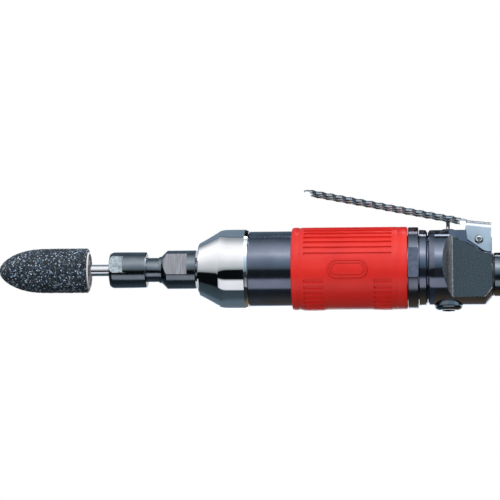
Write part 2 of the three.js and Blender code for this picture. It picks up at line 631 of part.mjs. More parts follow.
function buildValve() {
  const foot = LUG_TOP_Z - 7.1;
  const bush = [[foot, STEM_R + RUN], [foot, bushR], [LUG_TOP_Z + 0.1, bushR], [LUG_TOP_Z + 0.3, bushR - 0.4],
    [LUG_TOP_Z + 0.3, STEM_R + RUN]];
  addPart('valve_bush', turnedUp(bush, 28, STEM_X), BRASS);
  const stem = [[-0.4, 0], [-0.4, STEM_R], [stemTopZ - 0.4, STEM_R], [stemTopZ - 0.1, STEM_R - 0.3],
    [stemTopZ, STEM_R - 0.6], [stemTopZ, 0]];
  addPart('valve_stem', turnedUp(stem, 20, STEM_X), BRIGHT_STEEL);
  const valve = [[-4.2, 0], [-4.2, 1.9], [-1.8, 2.1], [-1.8, 4.5], [1.1, 4.5], [1.1, STEM_R + 0.05],
    [-0.7, STEM_R + 0.05], [-0.7, 0]];
  addPart('throttle_valve', turnedUp(valve, 28, STEM_X), BRASS);
  const seal = [[1.2, STEM_R + 0.1], [1.2, 4.5], [SEAT_Z - 0.2, 4.2], [SEAT_Z - 0.2, STEM_R + 0.1]];
  addPart('valve_seal', turnedUp(seal, 28, STEM_X), BLACK_RUBBER);
}

function buildSpring() {
  const turns = 7;
  const coilR = 3.3;
  const wireR = 0.42;
  const z0 = plugTopZ - 2.4 + 0.1 + wireR;
  const z1 = -1.9 - wireR;
  class Helix extends THREE.Curve {
    getPoint(t, target = new THREE.Vector3()) {
      const angle = 2 * Math.PI * turns * t;
      return target.set(STEM_X + coilR * Math.cos(angle), coilR * Math.sin(angle), z0 + (z1 - z0) * t);
    }
  }
  const section = new THREE.Shape(circle(wireR, 6).map(([a, b]) => new THREE.Vector2(a, b)));
  const geometry = new THREE.ExtrudeGeometry(section, { steps: turns * 9, extrudePath: new Helix() });
  addPart('valve_spring', toManifold(geometry), BRIGHT_STEEL);
}

function buildPlug() {
  const head = PLUG_HEAD_R;
  const z = plugHeadZ;
  const groove = plugTopZ - 0.9;
  const profile = [[plugTopZ, CHAMBER_R - 1.2], [plugTopZ, PLUG_R], [groove, PLUG_R], [groove, PLUG_R - 1.05],
    [groove - 1.5, PLUG_R - 1.05], [groove - 1.5, PLUG_R], [z, PLUG_R], [z, head], [z - 2.3, head],
    [z - 3.5, head - 0.5], [z - 4.3, head - 1.9], [z - 4.5, 0], [plugTopZ - 2.4, 0],
    [plugTopZ - 2.4, CHAMBER_R - 1.2]];
  let solid = turnedUp(profile, 28, STEM_X);
  const hex = plateXY(circle(3.2, 6), z - 5.3, z - 2.9).translate([STEM_X, 0, 0]);
  solid = solid.subtract(hex);
  addPart('valve_plug', solid, DARK_STEEL);
}

function torusUp(z, major, minor, x, sides, rings) {
  const profile = circle(minor, rings).map(([a, b]) => [z + a, major + b]);
  return turnedUp(profile, sides, x);
}

function buildOrings() {
  addPart('plug_oring', torusUp(plugTopZ - 1.65, PLUG_R - 0.47, 0.48, STEM_X, 28, 8), BLACK_RUBBER);
  const stemRing = torusUp(seatTopZ + 1, STEM_R + 0.32, 0.26, STEM_X, 20, 6);
  addPart('stem_oring', stemRing, BLACK_RUBBER);
}

// ---- air inlet --------------------------------------------------------------------------------
const inletX = BODY_REAR_X + 1;

function buildInlet() {
  const a = BODY_REAR_X - 10.6;
  const b = inletX;
  const c = inletX + INLET_LEN;
  const profile = [[a, 5.4], [a, INLET_THREAD_R - 0.4], [a + 0.4, INLET_THREAD_R], [b, INLET_THREAD_R],
    [b, INLET_R - 0.3], [b + 0.3, INLET_R], [c - 0.6, INLET_R], [c, INLET_R - 0.6], [c, 6.9],
    [c - 1, 6.3], [c - 11, 5.9], [c - 11, 4.4], [a + 4, 4.4], [a + 4, 5.4]];
  const flats = wrenchFlats(c - 8.5, c + 1, 19, INLET_R + 3, 0);
  addPart('inlet_bushing', turned(profile, 32).subtract(flats).translate([0, 0, INLET_Z]), DARK_STEEL);
  const washer = ringX(BODY_REAR_X + 0.2, b - 0.2, INLET_THREAD_R + 0.2, INLET_R - 0.4, 32);
  addPart('inlet_washer', washer.translate([0, 0, INLET_Z]), BLACK_RUBBER);
  const mesh = [[a + 0.5, 5.2], [a + 3.7, 5.2], [a + 3.7, 4.2], [a + 1.6, 3.9], [a - 0.2, 2.9], [a - 0.9, 0],
    [a - 1.3, 0], [a - 0.6, 3.1], [a + 0.5, 4]];
  const ordered = [...mesh.slice(7), ...mesh.slice(0, 6)];
  addPart('inlet_strainer', turned([mesh[6], ...ordered], 24).translate([0, 0, INLET_Z]), BRASS);
}

// ---- throttle lever ---------------------------------------------------------------------------
// The lever is made flat with the pivot at the origin and then tilted into place.
function buildLever() {
  const under = LEVER_LIFT;
  const top = under + LEVER_T;
  const tipX = -LEVER_REACH;
  const rearX = 7;
  const earX = -8.1;
  const half = LEVER_W / 2;
  const earOut = EAR_IN_Y + LEVER_T;
  const round = 3.4;
  const plan = [];
  for (let i = 0; i <= 10; i += 1) {
    const angle = Math.PI / 2 + (Math.PI * i) / 10;
    plan.push([tipX + 3.4 + 3.4 * Math.cos(angle), Math.sin(angle) * half]);
  }
  plan.push([earX - 6, -half], [earX, -earOut], [earX + 0.05, -earOut], [earX + 0.05, earOut]);
  plan.push([earX, earOut], [earX - 6, half]);
  const blank = plateXY(plan, under, top);
  const arch = (y, radius, low, high) => {
    const points = [[y, low]];
    for (let i = 0; i <= 6; i += 1) {
      const angle = (Math.PI / 2) * (i / 6);
      points.push([y - radius + radius * Math.cos(angle), high - radius + radius * Math.sin(angle)]);
    }
    const mirrored = points.map(([a, b]) => [-a, b]).reverse();
    return [...points, ...mirrored];
  };
  const low = -8.2;
  const outside = barX(arch(earOut, round, low, top), earX - 1, rearX + 2);
  const inside = barX(arch(EAR_IN_Y, round - LEVER_T, low - 1, under), earX - 2, rearX + 3);
  const channel = outside.subtract(inside).translate([-earX, 0, -top]);
  const hump = channel.rotate([0, -5, 0]).translate([earX, 0, top]);
  const earShape = [[earX, top + 3], [earX, PIN_R + 3.9], [-PIN_R - 3.8, -1.1], [3.3, -PIN_R - 3.1],
    [5.9, -PIN_R - 3.4], [rearX, -PIN_R - 2.9], [4.2, top + 3]];
  const ears = hump.intersect(plateXZ(earShape, -12, 12));
  let solid = blank.add(ears);
  solid = solid.subtract(rodY(-15, 15, PIN_R + RUN, 32, 0, 0));
  const placed = solid.rotate([0, LEVER_SLOPE, 0]).translate([PIVOT_X, 0, PIVOT_Z]);
  addPart('throttle_lever', placed, CHROME);
}

function buildLeverPin() {
  const end = EAR_IN_Y + LEVER_T + 0.15;
  const rim = PIN_R + 0.3;
  const profile = [[-end - 0.8, 0.9], [-end - 0.8, rim - 0.4], [-end - 0.5, rim], [-end, rim],
    [-end, PIN_R], [end, PIN_R], [end, rim], [end + 0.5, rim], [end + 0.8, rim - 0.4],
    [end + 0.8, 0.9], [end, 0.7], [end, 0], [-end, 0], [-end, 0.7]];
  const pin = turned([...profile.slice(12), ...profile.slice(0, 12)], 20);
  addPart('lever_pin', pin.rotate([0, 0, 90]).translate([PIVOT_X, 0, PIVOT_Z]), BRIGHT_STEEL);
}

buildStone();
buildShank();
buildCollet();
buildColletNut();
buildSpindle();
buildRotor();
buildVanes();
buildBearing('front_bearing', frontBearingX, FRONT_BEARING_W, FRONT_JOURNAL_R + 0.06, FRONT_BEARING_R, 7);
buildBearing('rear_bearing', rearBearingX, REAR_BEARING_W, REAR_JOURNAL_R + 0.06, REAR_BEARING_R, 6);
buildFrontPlate();
buildCylinder();
buildDowel();
buildRearPlate();
buildWaveWasher();
buildSpacer();
buildHousing();
buildCap();
buildDustSeal();
buildSleeve();
buildBadge();
buildRings();
buildValveBody();
buildValve();
buildSpring();
buildPlug();
buildOrings();
buildInlet();
buildLever();
buildLeverPin();

export default group;
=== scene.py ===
import math

import bmesh
import bpy
from mathutils import Matrix, Vector, geometry, noise


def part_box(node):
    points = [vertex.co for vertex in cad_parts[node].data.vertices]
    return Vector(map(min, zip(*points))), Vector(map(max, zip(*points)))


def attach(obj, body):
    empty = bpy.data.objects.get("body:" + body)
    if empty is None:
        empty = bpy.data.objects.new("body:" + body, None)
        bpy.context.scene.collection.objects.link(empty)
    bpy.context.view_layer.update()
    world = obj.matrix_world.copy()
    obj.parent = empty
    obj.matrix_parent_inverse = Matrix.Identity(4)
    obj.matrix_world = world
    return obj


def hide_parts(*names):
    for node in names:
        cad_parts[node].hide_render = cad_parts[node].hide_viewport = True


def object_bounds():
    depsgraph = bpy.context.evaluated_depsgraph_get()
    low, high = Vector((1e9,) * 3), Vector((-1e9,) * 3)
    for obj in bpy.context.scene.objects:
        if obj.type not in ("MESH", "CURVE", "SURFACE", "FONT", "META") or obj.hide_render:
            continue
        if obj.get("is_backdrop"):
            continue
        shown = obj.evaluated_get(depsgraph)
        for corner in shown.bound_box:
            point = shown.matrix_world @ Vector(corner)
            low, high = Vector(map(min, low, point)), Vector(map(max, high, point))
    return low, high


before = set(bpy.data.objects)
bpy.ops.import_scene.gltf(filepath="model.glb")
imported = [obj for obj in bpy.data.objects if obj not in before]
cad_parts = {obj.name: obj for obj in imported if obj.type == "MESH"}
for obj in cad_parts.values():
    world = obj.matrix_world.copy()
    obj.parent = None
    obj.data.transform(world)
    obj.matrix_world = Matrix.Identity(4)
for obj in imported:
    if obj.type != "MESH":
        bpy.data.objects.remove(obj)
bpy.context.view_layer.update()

scene = bpy.context.scene
scene.view_settings.view_transform = "Standard"


# ---------------------------------------------------------------- studio
# The tool is shown on its own in a white room, over a pale floor that lies well below it. The
# reflections come from the room: a broad soft box above, a dark gap in front, a lit table below it.
floor_drop = 0.36
floor_reach = 4.0
floor_mesh = bmesh.new()
bmesh.ops.create_circle(floor_mesh, cap_ends=True, segments=96, radius=floor_reach)
bmesh.ops.translate(floor_mesh, verts=floor_mesh.verts, vec=(0, 0, -floor_drop))
floor_data = bpy.data.meshes.new("floor")
floor_mesh.to_mesh(floor_data)
floor_mesh.free()
floor = bpy.data.objects.new("floor", floor_data)
scene.collection.objects.link(floor)
floor.visible_glossy = False
floor.visible_diffuse = False
floor_paint = bpy.data.materials.new("floor_paint")
floor_paint.use_nodes = True
floor_paint.node_tree.nodes["Principled BSDF"].inputs["Base Color"].default_value = (0.86, 0.86, 0.85, 1)
floor_paint.node_tree.nodes["Principled BSDF"].inputs["Roughness"].default_value = 0.9
floor_data.materials.append(floor_paint)
floor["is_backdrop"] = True

room = bpy.data.worlds.new("white_room")
scene.world = room
room.use_nodes = True
room_nodes = room.node_tree.nodes
room_links = room.node_tree.links
room_nodes.clear()


def room_node(kind, *inputs, **settings):
    made = room_nodes.new(kind)
    for name, value in settings.items():
        setattr(made, name, value)
    for socket, value in zip(made.inputs, inputs):
        if isinstance(value, bpy.types.NodeSocket):
            room_links.new(value, socket)
        elif value is not None:
            socket.default_value = value
    return made.outputs[0]


def room_ramp(value, stops):
    ramp = room_nodes.new("ShaderNodeValToRGB")
    room_links.new(value, ramp.inputs[0])
    points = ramp.color_ramp.elements
    while len(points) < len(stops):
        points.new(0.5)
    for point, (angle, shade) in zip(points, stops):
        point.position = angle / 360 + 0.5
        point.color = (*(part / 5 for part in shade), 1)
    made = room_node("ShaderNodeVectorMath", ramp.outputs[0], operation="SCALE")
    made.node.inputs["Scale"].default_value = 5
    return made


way = room_nodes.new("ShaderNodeTexCoord").outputs["Generated"]
split = room_nodes.new("ShaderNodeSeparateXYZ")
room_links.new(way, split.inputs[0])
sideways = room_node("ShaderNodeMath", split.outputs[0], operation="ABSOLUTE")
front = room_node("ShaderNodeMath", split.outputs[1], -1.0, operation="MULTIPLY")
wrapped = room_node("ShaderNodeMath", sideways, 0.85, front, operation="MULTIPLY_ADD")


def round_share(forward):
    angle = room_node("ShaderNodeMath", split.outputs[2], forward, operation="ARCTAN2")
    return room_node("ShaderNodeMath", angle, 1 / math.tau, 0.5, operation="MULTIPLY_ADD")


def fade(value, low, high):
    made = room_nodes.new("ShaderNodeMapRange")
    made.interpolation_type = "SMOOTHSTEP"
    room_links.new(value, made.inputs["Value"])
    made.inputs["From Min"].default_value = low
    made.inputs["From Max"].default_value = high
    return made.outputs[0]


def scaled(colour, share):
    made = room_node("ShaderNodeVectorMath", colour, operation="SCALE")
    room_links.new(share, made.node.inputs["Scale"])
    return made


slate = (0.19, 0.26, 0.33)
none = (0, 0, 0)
pale = (0.85, 0.86, 0.88)
walls = room_ramp(round_share(wrapped), [
    (-180, pale), (-166, pale), (-162, none), (-42, none), (-37, (0.003, 0.004, 0.005)),
    (-10, (0.003, 0.004, 0.005)),
    (-8, (0.30, 0.33, 0.34)), (0, (0.56, 0.60, 0.62)), (10, (0.74, 0.76, 0.79)), (20, (1.0, 1.0, 1.03)),
    (38, (1.25, 1.25, 1.28)), (58, (1.1, 1.1, 1.12)), (70, (0.75, 0.77, 0.8)), (82, (0.42, 0.45, 0.48)),
    (92, (0.32, 0.36, 0.40)), (94, (0.05, 0.06, 0.07)), (97, none), (162, none), (166, pale), (180, pale),
])
cool_back = room_ramp(round_share(wrapped), [
    (-165, slate), (-140, (0.12, 0.16, 0.195)), (-112, (0.10, 0.15, 0.19)), (-94, (0.05, 0.075, 0.095)),
    (-42, (0.03, 0.045, 0.055)), (-37, none), (94, none), (97, slate), (165, slate),
])
warm_low = [
    (-165, slate), (-152, (0.16, 0.16, 0.16)), (-138, (0.26, 0.165, 0.10)), (-112, (0.17, 0.13, 0.075)),
    (-94, (0.07, 0.06, 0.045)), (-80, (0.025, 0.032, 0.03)), (-42, (0.02, 0.025, 0.025)), (-37, none),
]
warm_back = room_ramp(round_share(wrapped), [
    *warm_low, (94, none), (97, slate), (110, (0.15, 0.22, 0.25)), (165, slate),
])
dim_back = room_ramp(round_share(wrapped), [
    *warm_low, (112, none), (114, (0.01, 0.01, 0.01)), (155, (0.03, 0.03, 0.03)),
])
near_walls = room_ramp(round_share(wrapped), [
    (-180, pale), (-166, pale), (-162, none), (-42, none), (-37, (0.03, 0.04, 0.05)),
    (-10, (0.03, 0.04, 0.05)),
    (-8, (0.18, 0.25, 0.30)), (0, (0.30, 0.44, 0.52)), (10, (0.50, 0.66, 0.80)), (20, (0.85, 1.02, 1.18)),
    (28, (1.7, 1.8, 1.9)), (36, (2.9, 2.8, 2.7)), (44, (2.0, 2.0, 2.05)), (57, (1.3, 1.38, 1.45)),
    (80, (0.42, 0.52, 0.57)), (92, (0.25, 0.34, 0.38)), (94, (0.05, 0.06, 0.07)), (97, none),
    (162, none), (166, pale), (180, pale),
])
strip_shade = (4.4, 4.5, 4.6)
rear_strip = room_ramp(round_share(front), [
    (105, none), (106.5, strip_shade), (112, strip_shade), (113.5, none),
])
table = room_ramp(round_share(front), [
    (-73, none), (-69, (0.80, 0.80, 0.86)), (-44, (0.88, 0.88, 0.92)), (-39.5, (0.5, 0.5, 0.55)),
    (-37.5, none),
])


def blended(share, one, other):
    made = room_nodes.new("ShaderNodeMix")
    made.data_type = "RGBA"
    room_links.new(share, made.inputs[0])
    room_links.new(one, made.inputs[6])
    room_links.new(other, made.inputs[7])
    return made.outputs[2]


def added(one, other):
    return room_node("ShaderNodeVectorMath", one, other, operation="ADD")


past_nose = fade(split.outputs[0], -0.0745, -0.066)
past_grip = fade(split.outputs[0], -0.045, -0.02)
back = blended(past_nose, cool_back, warm_back)
back = blended(past_grip, back, dim_back)
walls = blended(fade(split.outputs[0], -0.0755, -0.069), walls, near_walls)
light = added(scaled(rear_strip, past_grip), scaled(table, fade(sideways, 0.78, 0.5)))
light = added(added(walls, back), light)
for aim, spread, shade in (
    ((0.78, 0.58, 0.22), 26, (1.1, 1.1, 1.15)),
    ((-0.80, 0.60, 0.05), 20, (1.0, 1.0, 1.05)),
    ((0.0, 0.98, -0.18), 13, (0.8, 0.82, 0.86)),
    ((0.95, -0.30, 0.10), 24, (0.3, 0.3, 0.31)),
):
    facing = room_node("ShaderNodeVectorMath", way, Vector(aim).normalized(), operation="DOT_PRODUCT")
    edge, core = math.cos(math.radians(spread)), math.cos(math.radians(spread * 0.6))
    light = added(light, scaled(shade, fade(facing.node.outputs["Value"], edge, core)))
lit = room_nodes.new("ShaderNodeBackground")
room_links.new(light, lit.inputs["Color"])
plain = room_nodes.new("ShaderNodeBackground")
plain.inputs["Color"].default_value = (1, 1, 1, 1)
choose = room_nodes.new("ShaderNodeMixShader")
room_links.new(room_nodes.new("ShaderNodeLightPath").outputs["Is Camera Ray"], choose.inputs[0])
room_links.new(lit.outputs[0], choose.inputs[1])
room_links.new(plain.outputs[0], choose.inputs[2])
room_links.new(choose.outputs[0], room_nodes.new("ShaderNodeOutputWorld").inputs["Surface"])


def soft_box(name, place, aim, size, watts):
    lamp = bpy.data.lights.new(name, "AREA")
    lamp.shape = "DISK"
    lamp.size = size
    lamp.energy = watts
    box = bpy.data.objects.new(name, lamp)
    scene.collection.objects.link(box)
    box.location = place
    box.rotation_euler = (Vector(aim) - Vector(place)).to_track_quat("-Z", "Y").to_euler()
    box.visible_glossy = False


soft_box("key_box", (-0.7, -1.1, 1.2), (-0.05, 0, 0), 0.7, 3.6)
soft_box("fill_box", (0.25, -1.5, -0.05), (0, 0, 0), 0.55, 1.2)
soft_box("low_box", (-0.3, -0.95, -0.17), (0, 0, 0), 0.34, 4.3)
soft_box("back_box", (0.2, 1.2, 1.0), (-0.05, 0, 0), 1.0, 7)


# ---------------------------------------------------------------- camera
# A long lens a little below the tool and square to its grip, so that the tool fills the width and
# the underside of the lever shows.
lens_place = Vector((0.044, -1.23461, -0.19554))
lens_aim = Vector((-0.07553, 0.98360, 0.16380))
lens_up = Vector((0.00878, -0.16361, 0.98649))
lens_right = lens_aim.cross(lens_up).normalized()
lens_up = lens_right.cross(lens_aim).normalized()
camera_data = bpy.data.cameras.new("camera")
camera_data.lens = 175.67
camera_data.sensor_width = 36
camera_data.clip_end = 30
camera = bpy.data.objects.new("camera", camera_data)
scene.collection.objects.link(camera)
turn = Matrix((lens_right, lens_up, -lens_aim.normalized())).transposed()
camera.matrix_world = Matrix.Translation(lens_place) @ turn.to_4x4()
scene.camera = camera


# ---------------------------------------------------------------- mounted point: the stone
# A bullet-nosed grinding stone of coarse dark grit in a hard bond. It is moulded round the front of
# its steel shank, and its hollow back is faced with pale cement. The dish inside the cement rim is
# painted dark grey-brown, as painted shade for the recess.
def add_node(tree, kind, settings=None, **inputs):
    made = tree.nodes.new(kind)
    for name, value in (settings or {}).items():
        setattr(made, name, value)
    for name, value in inputs.items():
        numbered = name[0] == "i" and name[1:].isdigit()
        socket = made.inputs[int(name[1:]) if numbered else name.replace("_", " ")]
        if isinstance(value, bpy.types.NodeSocket):
            tree.links.new(value, socket)
        else:
            socket.default_value = value
    return made


def ramp(tree, value, *stops):
    made = tree.nodes.new("ShaderNodeValToRGB")
    tree.links.new(value, made.inputs[0])
    points = made.color_ramp.elements
    while len(points) < len(stops):
        points.new(0.5)
    for point, (place, shade) in zip(points, stops):
        point.position = place
        point.color = (*shade, 1) if isinstance(shade, tuple) else (shade, shade, shade, 1)
    return made.outputs[0]


def mixed(tree, share, one, other):
    made = add_node(tree, "ShaderNodeMix", {"data_type": "RGBA"}, i0=share)
    for socket, value in ((made.inputs[6], one), (made.inputs[7], other)):
        if isinstance(value, bpy.types.NodeSocket):
            tree.links.new(value, socket)
        else:
            socket.default_value = (*value, 1)
    return made.outputs[2]


def between(tree, value, low, high):
    return add_node(tree, "ShaderNodeMapRange", None, Value=value, To_Min=low, To_Max=high).outputs[0]


def new_finish(name, **constants):
    finish = bpy.data.materials.new(name)
    finish.use_nodes = True
    tree = finish.node_tree
    shader = tree.nodes["Principled BSDF"]
    for socket, value in constants.items():
        shader.inputs[socket.replace("_", " ")].default_value = value
    place = tree.nodes.new("ShaderNodeTexCoord").outputs["Object"]
    return finish, tree, shader, place


def bumped(tree, shader, height, strength, distance):
    bump = add_node(tree, "ShaderNodeBump", None, Strength=strength, Distance=distance, Height=height)
    tree.links.new(bump.outputs[0], shader.inputs["Normal"])


def dressed(tree, shader, colour, rough, bump):
    tree.links.new(colour, shader.inputs["Base Color"])
    if rough:
        tree.links.new(between(tree, *rough), shader.inputs["Roughness"])
    if bump:
        bumped(tree, shader, *bump)


def ends(name):
    low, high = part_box(name)
    return low.x * 1000, high.x * 1000


def heights(name):
    low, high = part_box(name)
    return low.z * 1000, high.z * 1000


def off_axis(point):
    return math.hypot(point.y, point.z)


def new_verts(made):
    return [item for item in made["geom"] if isinstance(item, bmesh.types.BMVert)]


def settled(bm):
    # The same corners and faces in one fixed order, so that each run cuts and joins them alike.
    verts = sorted(bm.verts, key=lambda vert: tuple(round(part, 4) for part in vert.co))
    order = {vert: count for count, vert in enumerate(verts)}
    faces = []
    for face in bm.faces:
        corners = [order[vert] for vert in face.verts]
        first = corners.index(min(corners))
        faces.append((corners[first:] + corners[:first], face.material_index))
    fresh = bmesh.new()
    made = [fresh.verts.new(vert.co) for vert in verts]
    for corners, index in sorted(faces):
        fresh.faces.new([made[corner] for corner in corners]).material_index = index
    fresh.normal_update()
    bm.free()
    return fresh


def turned(profile, steps=144):
    bm = bmesh.new()
    points = [bm.verts.new((x, 0, r)) for x, r in profile]
    for one, other in zip(points, points[1:]):
        bm.edges.new((one, other))
    if profile[0][1] > 0:
        bm.edges.new((points[-1], points[0]))
    bmesh.ops.spin(
        bm, geom=bm.verts[:] + bm.edges[:], cent=(0, 0, 0), axis=(1, 0, 0), dvec=(0, 0, 0),
        angle=math.tau, steps=steps, use_merge=True, use_normal_flip=False, use_duplicate=False)
    bmesh.ops.remove_doubles(bm, verts=bm.verts, dist=1e-4)
    bmesh.ops.recalc_face_normals(bm, faces=bm.faces)
    return settled(bm)


def curve(start, pull_start, pull_end, end, count):
    points = geometry.interpolate_bezier(
        (*start, 0), (*pull_start, 0), (*pull_end, 0), (*end, 0), count)
    return [(p.x, p.y) for p in points]


def piece(bm, name, body, nodes, finishes, sharp=32, bevel=0.0, bevel_angle=30):
    bm = settled(bm)
    bmesh.ops.scale(bm, vec=(0.001, 0.001, 0.001), verts=bm.verts)
    data = bpy.data.meshes.new(name)
    bm.to_mesh(data)
    bm.free()
    for finish in finishes:
        data.materials.append(finish)
    data.shade_smooth()
    made = bpy.data.objects.new(name, data)
    scene.collection.objects.link(made)
    if bevel:
        rounding = made.modifiers.new("rounded_edges", "BEVEL")
        rounding.width = bevel * 0.001
        rounding.segments = 2
        rounding.limit_method = "ANGLE"
        rounding.angle_limit = math.radians(bevel_angle)
        rounding.harden_normals = True
    if sharp:
        data.set_sharp_from_angle(angle=math.radians(sharp))
    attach(made, body)
    if nodes:
        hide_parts(*nodes)
    return made


stone_tip, stone_back = ends("grinding_stone")
stone_radius = 11.45
dish_radius = 9.3
dish_floor = stone_back - 1.2
shank_hole = 3.1
hole_depth = 36
grit_height = 0.17

abrasive, tree, shader, place = new_finish("abrasive_grit", Roughness=0.75)
cells = add_node(tree, "ShaderNodeTexVoronoi", None, Vector=place, Scale=1650.0)
tint = add_node(tree, "ShaderNodeTexVoronoi", None, Vector=place, Scale=1150.0)
spark = add_node(tree, "ShaderNodeSeparateColor", None, Color=cells.outputs["Color"])
spark_b = add_node(tree, "ShaderNodeSeparateColor", None, Color=tint.outputs["Color"])
grain = ramp(
    tree, spark.outputs[0], (0.0, (0.003, 0.004, 0.006)), (0.45, (0.009, 0.014, 0.020)),
    (0.74, (0.032, 0.050, 0.062)), (0.88, (0.10, 0.135, 0.16)), (0.95, (0.42, 0.48, 0.54)))
hue = ramp(
    tree, spark_b.outputs[1], (0.0, (0.62, 0.66, 1.0)), (0.5, (0.8, 1.0, 1.05)), (1.0, (1.05, 0.85, 0.85)))
grain = add_node(
    tree, "ShaderNodeMix", {"data_type": "RGBA", "blend_type": "MULTIPLY"}, i0=0.8, i6=grain, i7=hue)
dressed(tree, shader, grain.outputs[2], (spark_b.outputs[0], 0.28, 0.9), (spark.outputs[1], 0.9, 0.0005))

cement, tree, shader, place = new_finish("pale_cement", Roughness=0.8)
lumps = add_node(tree, "ShaderNodeTexNoise", None, Vector=place, Scale=500.0, Detail=6.0)
cement_colour = ramp(tree, lumps.outputs[0], (0.35, (0.72, 0.70, 0.72)), (0.65, (0.85, 0.84, 0.86)))
dressed(tree, shader, cement_colour, None, (lumps.outputs[0], 0.4, 0.0003))

# Dark grey-brown cement for the dish inside the rim: painted shade for the recess.
shaded_dish_cement, tree, shader, place = new_finish("shaded_dish_cement", Roughness=0.8)
lumps = add_node(tree, "ShaderNodeTexNoise", None, Vector=place, Scale=380.0, Detail=6.0)
dish_shade_colour = ramp(tree, lumps.outputs[0], (0.35, (0.16, 0.14, 0.14)), (0.65, (0.42, 0.38, 0.38)))
dressed(tree, shader, dish_shade_colour, None, (lumps.outputs[0], 0.4, 0.0003))

nose = curve((0, 0), (0.1, 4.2), (6.5, 9.2), (17, 10.95), 34)
nose += curve((17, 10.95), (21, 11.4), (25, stone_radius), (29, stone_radius), 16)[1:]
profile = [(stone_tip + x, r) for x, r in nose]
for step in range(1, 45):
    profile.append((stone_tip + 29 + step * 0.4, stone_radius))
profile = [p for p in profile if p[0] < stone_back - 1.4]
profile += [(stone_back - 1.2, stone_radius - 0.1), (stone_back - 0.75, stone_radius - 0.5)]
profile += [(stone_back - 0.65, stone_radius - 1.0), (stone_back - 0.65, dish_radius + 0.1)]
profile += [(stone_back - 0.1, dish_radius), (stone_back, dish_radius - 0.15)]
profile += [(stone_back, dish_radius - 0.6), (stone_back - 0.3, dish_radius - 0.8)]
profile += [(stone_back - 1.1, dish_radius - 1.3), (dish_floor, 6.0), (dish_floor, shank_hole)]
profile += [(stone_back - hole_depth, shank_hole), (stone_back - hole_depth, 0)]
bm = turned(profile, 260)
for vert in bm.verts:
    radius = off_axis(vert.co)
    on_side = vert.co.x < stone_back - 0.7 and radius > dish_radius + 0.5
    on_nose = vert.co.x < stone_tip + 12 and radius > shank_hole + 0.5
    if on_side or on_nose or vert.co.x < stone_tip + 2:
        away = Vector((0, vert.co.y, vert.co.z))
        away = away.normalized() if away.length > 1e-6 else Vector((-1, 0, 0))
        lump = noise.cell(vert.co * 1.5) * 0.5 + noise.noise(vert.co * 2.1)
        vert.co += away * (grit_height * lump - 0.05)
for face in bm.faces:
    middle = face.calc_center_median()
    radius = off_axis(middle)
    if middle.x > stone_back - 1.3 and shank_hole < radius < dish_radius + 0.09:
        # Faces of the dish inside the pale rim get the painted shade cement.
        face.material_index = 1 if radius > dish_radius - 0.7 else 2
piece(
    bm, "grinding_stone_grit", "mounted_point", ["grinding_stone"],
    [abrasive, cement, shaded_dish_cement], sharp=50)


# ---------------------------------------------------------------- mounted point: the shank
# A ground and polished 6 mm steel rod, cemented into the stone at one end and held by the collet at
# the other. Fine scratches run round it.
def scratch_group():
    group = bpy.data.node_groups.new("tool_marks", "ShaderNodeTree")
    group.interface.new_socket("Place", in_out="INPUT", socket_type="NodeSocketVector")
    group.interface.new_socket("Stretch", in_out="INPUT", socket_type="NodeSocketVector")
    group.interface.new_socket("Mark", in_out="OUTPUT", socket_type="NodeSocketFloat")
    group.interface.new_socket("Cloud", in_out="OUTPUT", socket_type="NodeSocketFloat")
    start = group.nodes.new("NodeGroupInput")
    end = group.nodes.new("NodeGroupOutput")
    stretched = add_node(
        group, "ShaderNodeVectorMath", {"operation": "MULTIPLY"}, i0=start.outputs[0], i1=start.outputs[1])
    marks = add_node(
        group, "ShaderNodeTexNoise", None, Vector=stretched.outputs[0], Scale=1.0, Detail=5.0, Roughness=0.7)
    cloud = add_node(group, "ShaderNodeTexNoise", None, Vector=start.outputs[0], Scale=120.0, Detail=4.0)
    group.links.new(marks.outputs[0], end.inputs["Mark"])
    group.links.new(cloud.outputs[0], end.inputs["Cloud"])
    return group


tool_marks = scratch_group()


def marked(tree, place, stretch):
    made = tree.nodes.new("ShaderNodeGroup")
    made.node_tree = tool_marks
    tree.links.new(place, made.inputs["Place"])
    made.inputs["Stretch"].default_value = stretch
    return made.outputs["Mark"], made.outputs["Cloud"]


polished, tree, shader, place = new_finish("polished_steel", Metallic=1.0, Roughness=0.12)
mark, cloud = marked(tree, place, (2600, 60, 60))
steel_colour = ramp(tree, mark, (0.3, (0.66, 0.68, 0.71)), (0.7, (0.80, 0.81, 0.83)))
dressed(tree, shader, steel_colour, (cloud, 0.08, 0.2), (mark, 0.12, 0.00004))

front, rear = ends("stone_shank")
shank_radius = 3.0
profile = [(front, 0), (front, 2.7), (front + 0.4, shank_radius), (rear - 0.6, shank_radius), (rear, 2.4)]
bm = turned(profile + [(rear, 0)], 96)
piece(bm, "polished_shank", "mounted_point", ["stone_shank"], [polished])


# ---------------------------------------------------------------- collet nut and collet
# A turned steel nut, blued dark, with two bright flats for a spanner at its front. It screws on to
# the spindle and closes the split collet on the shank.
gunmetal, tree, shader, place = new_finish("blued_gunmetal", Metallic=1.0)
mark, cloud = marked(tree, place, (1500, 30, 30))
dark_colour = ramp(tree, cloud, (0.3, (0.15, 0.175, 0.20)), (0.7, (0.21, 0.245, 0.275)))
dressed(tree, shader, dark_colour, (mark, 0.10, 0.22), (mark, 0.2, 0.00005))

nut_flat_steel, tree, shader, place = new_finish("nut_flat_steel", Metallic=0.55)
mark, cloud = marked(tree, place, (500, 500, 500))
flat_colour = ramp(tree, mark, (0.34, (0.16, 0.20, 0.22)), (0.66, (0.50, 0.56, 0.60)))
dressed(tree, shader, flat_colour, (cloud, 0.38, 0.6), (mark, 0.5, 0.0001))


def sliced(bm, place, normal):
    bmesh.ops.bisect_plane(
        bm, geom=bm.verts[:] + bm.edges[:] + bm.faces[:], plane_co=place, plane_no=normal, dist=1e-5)


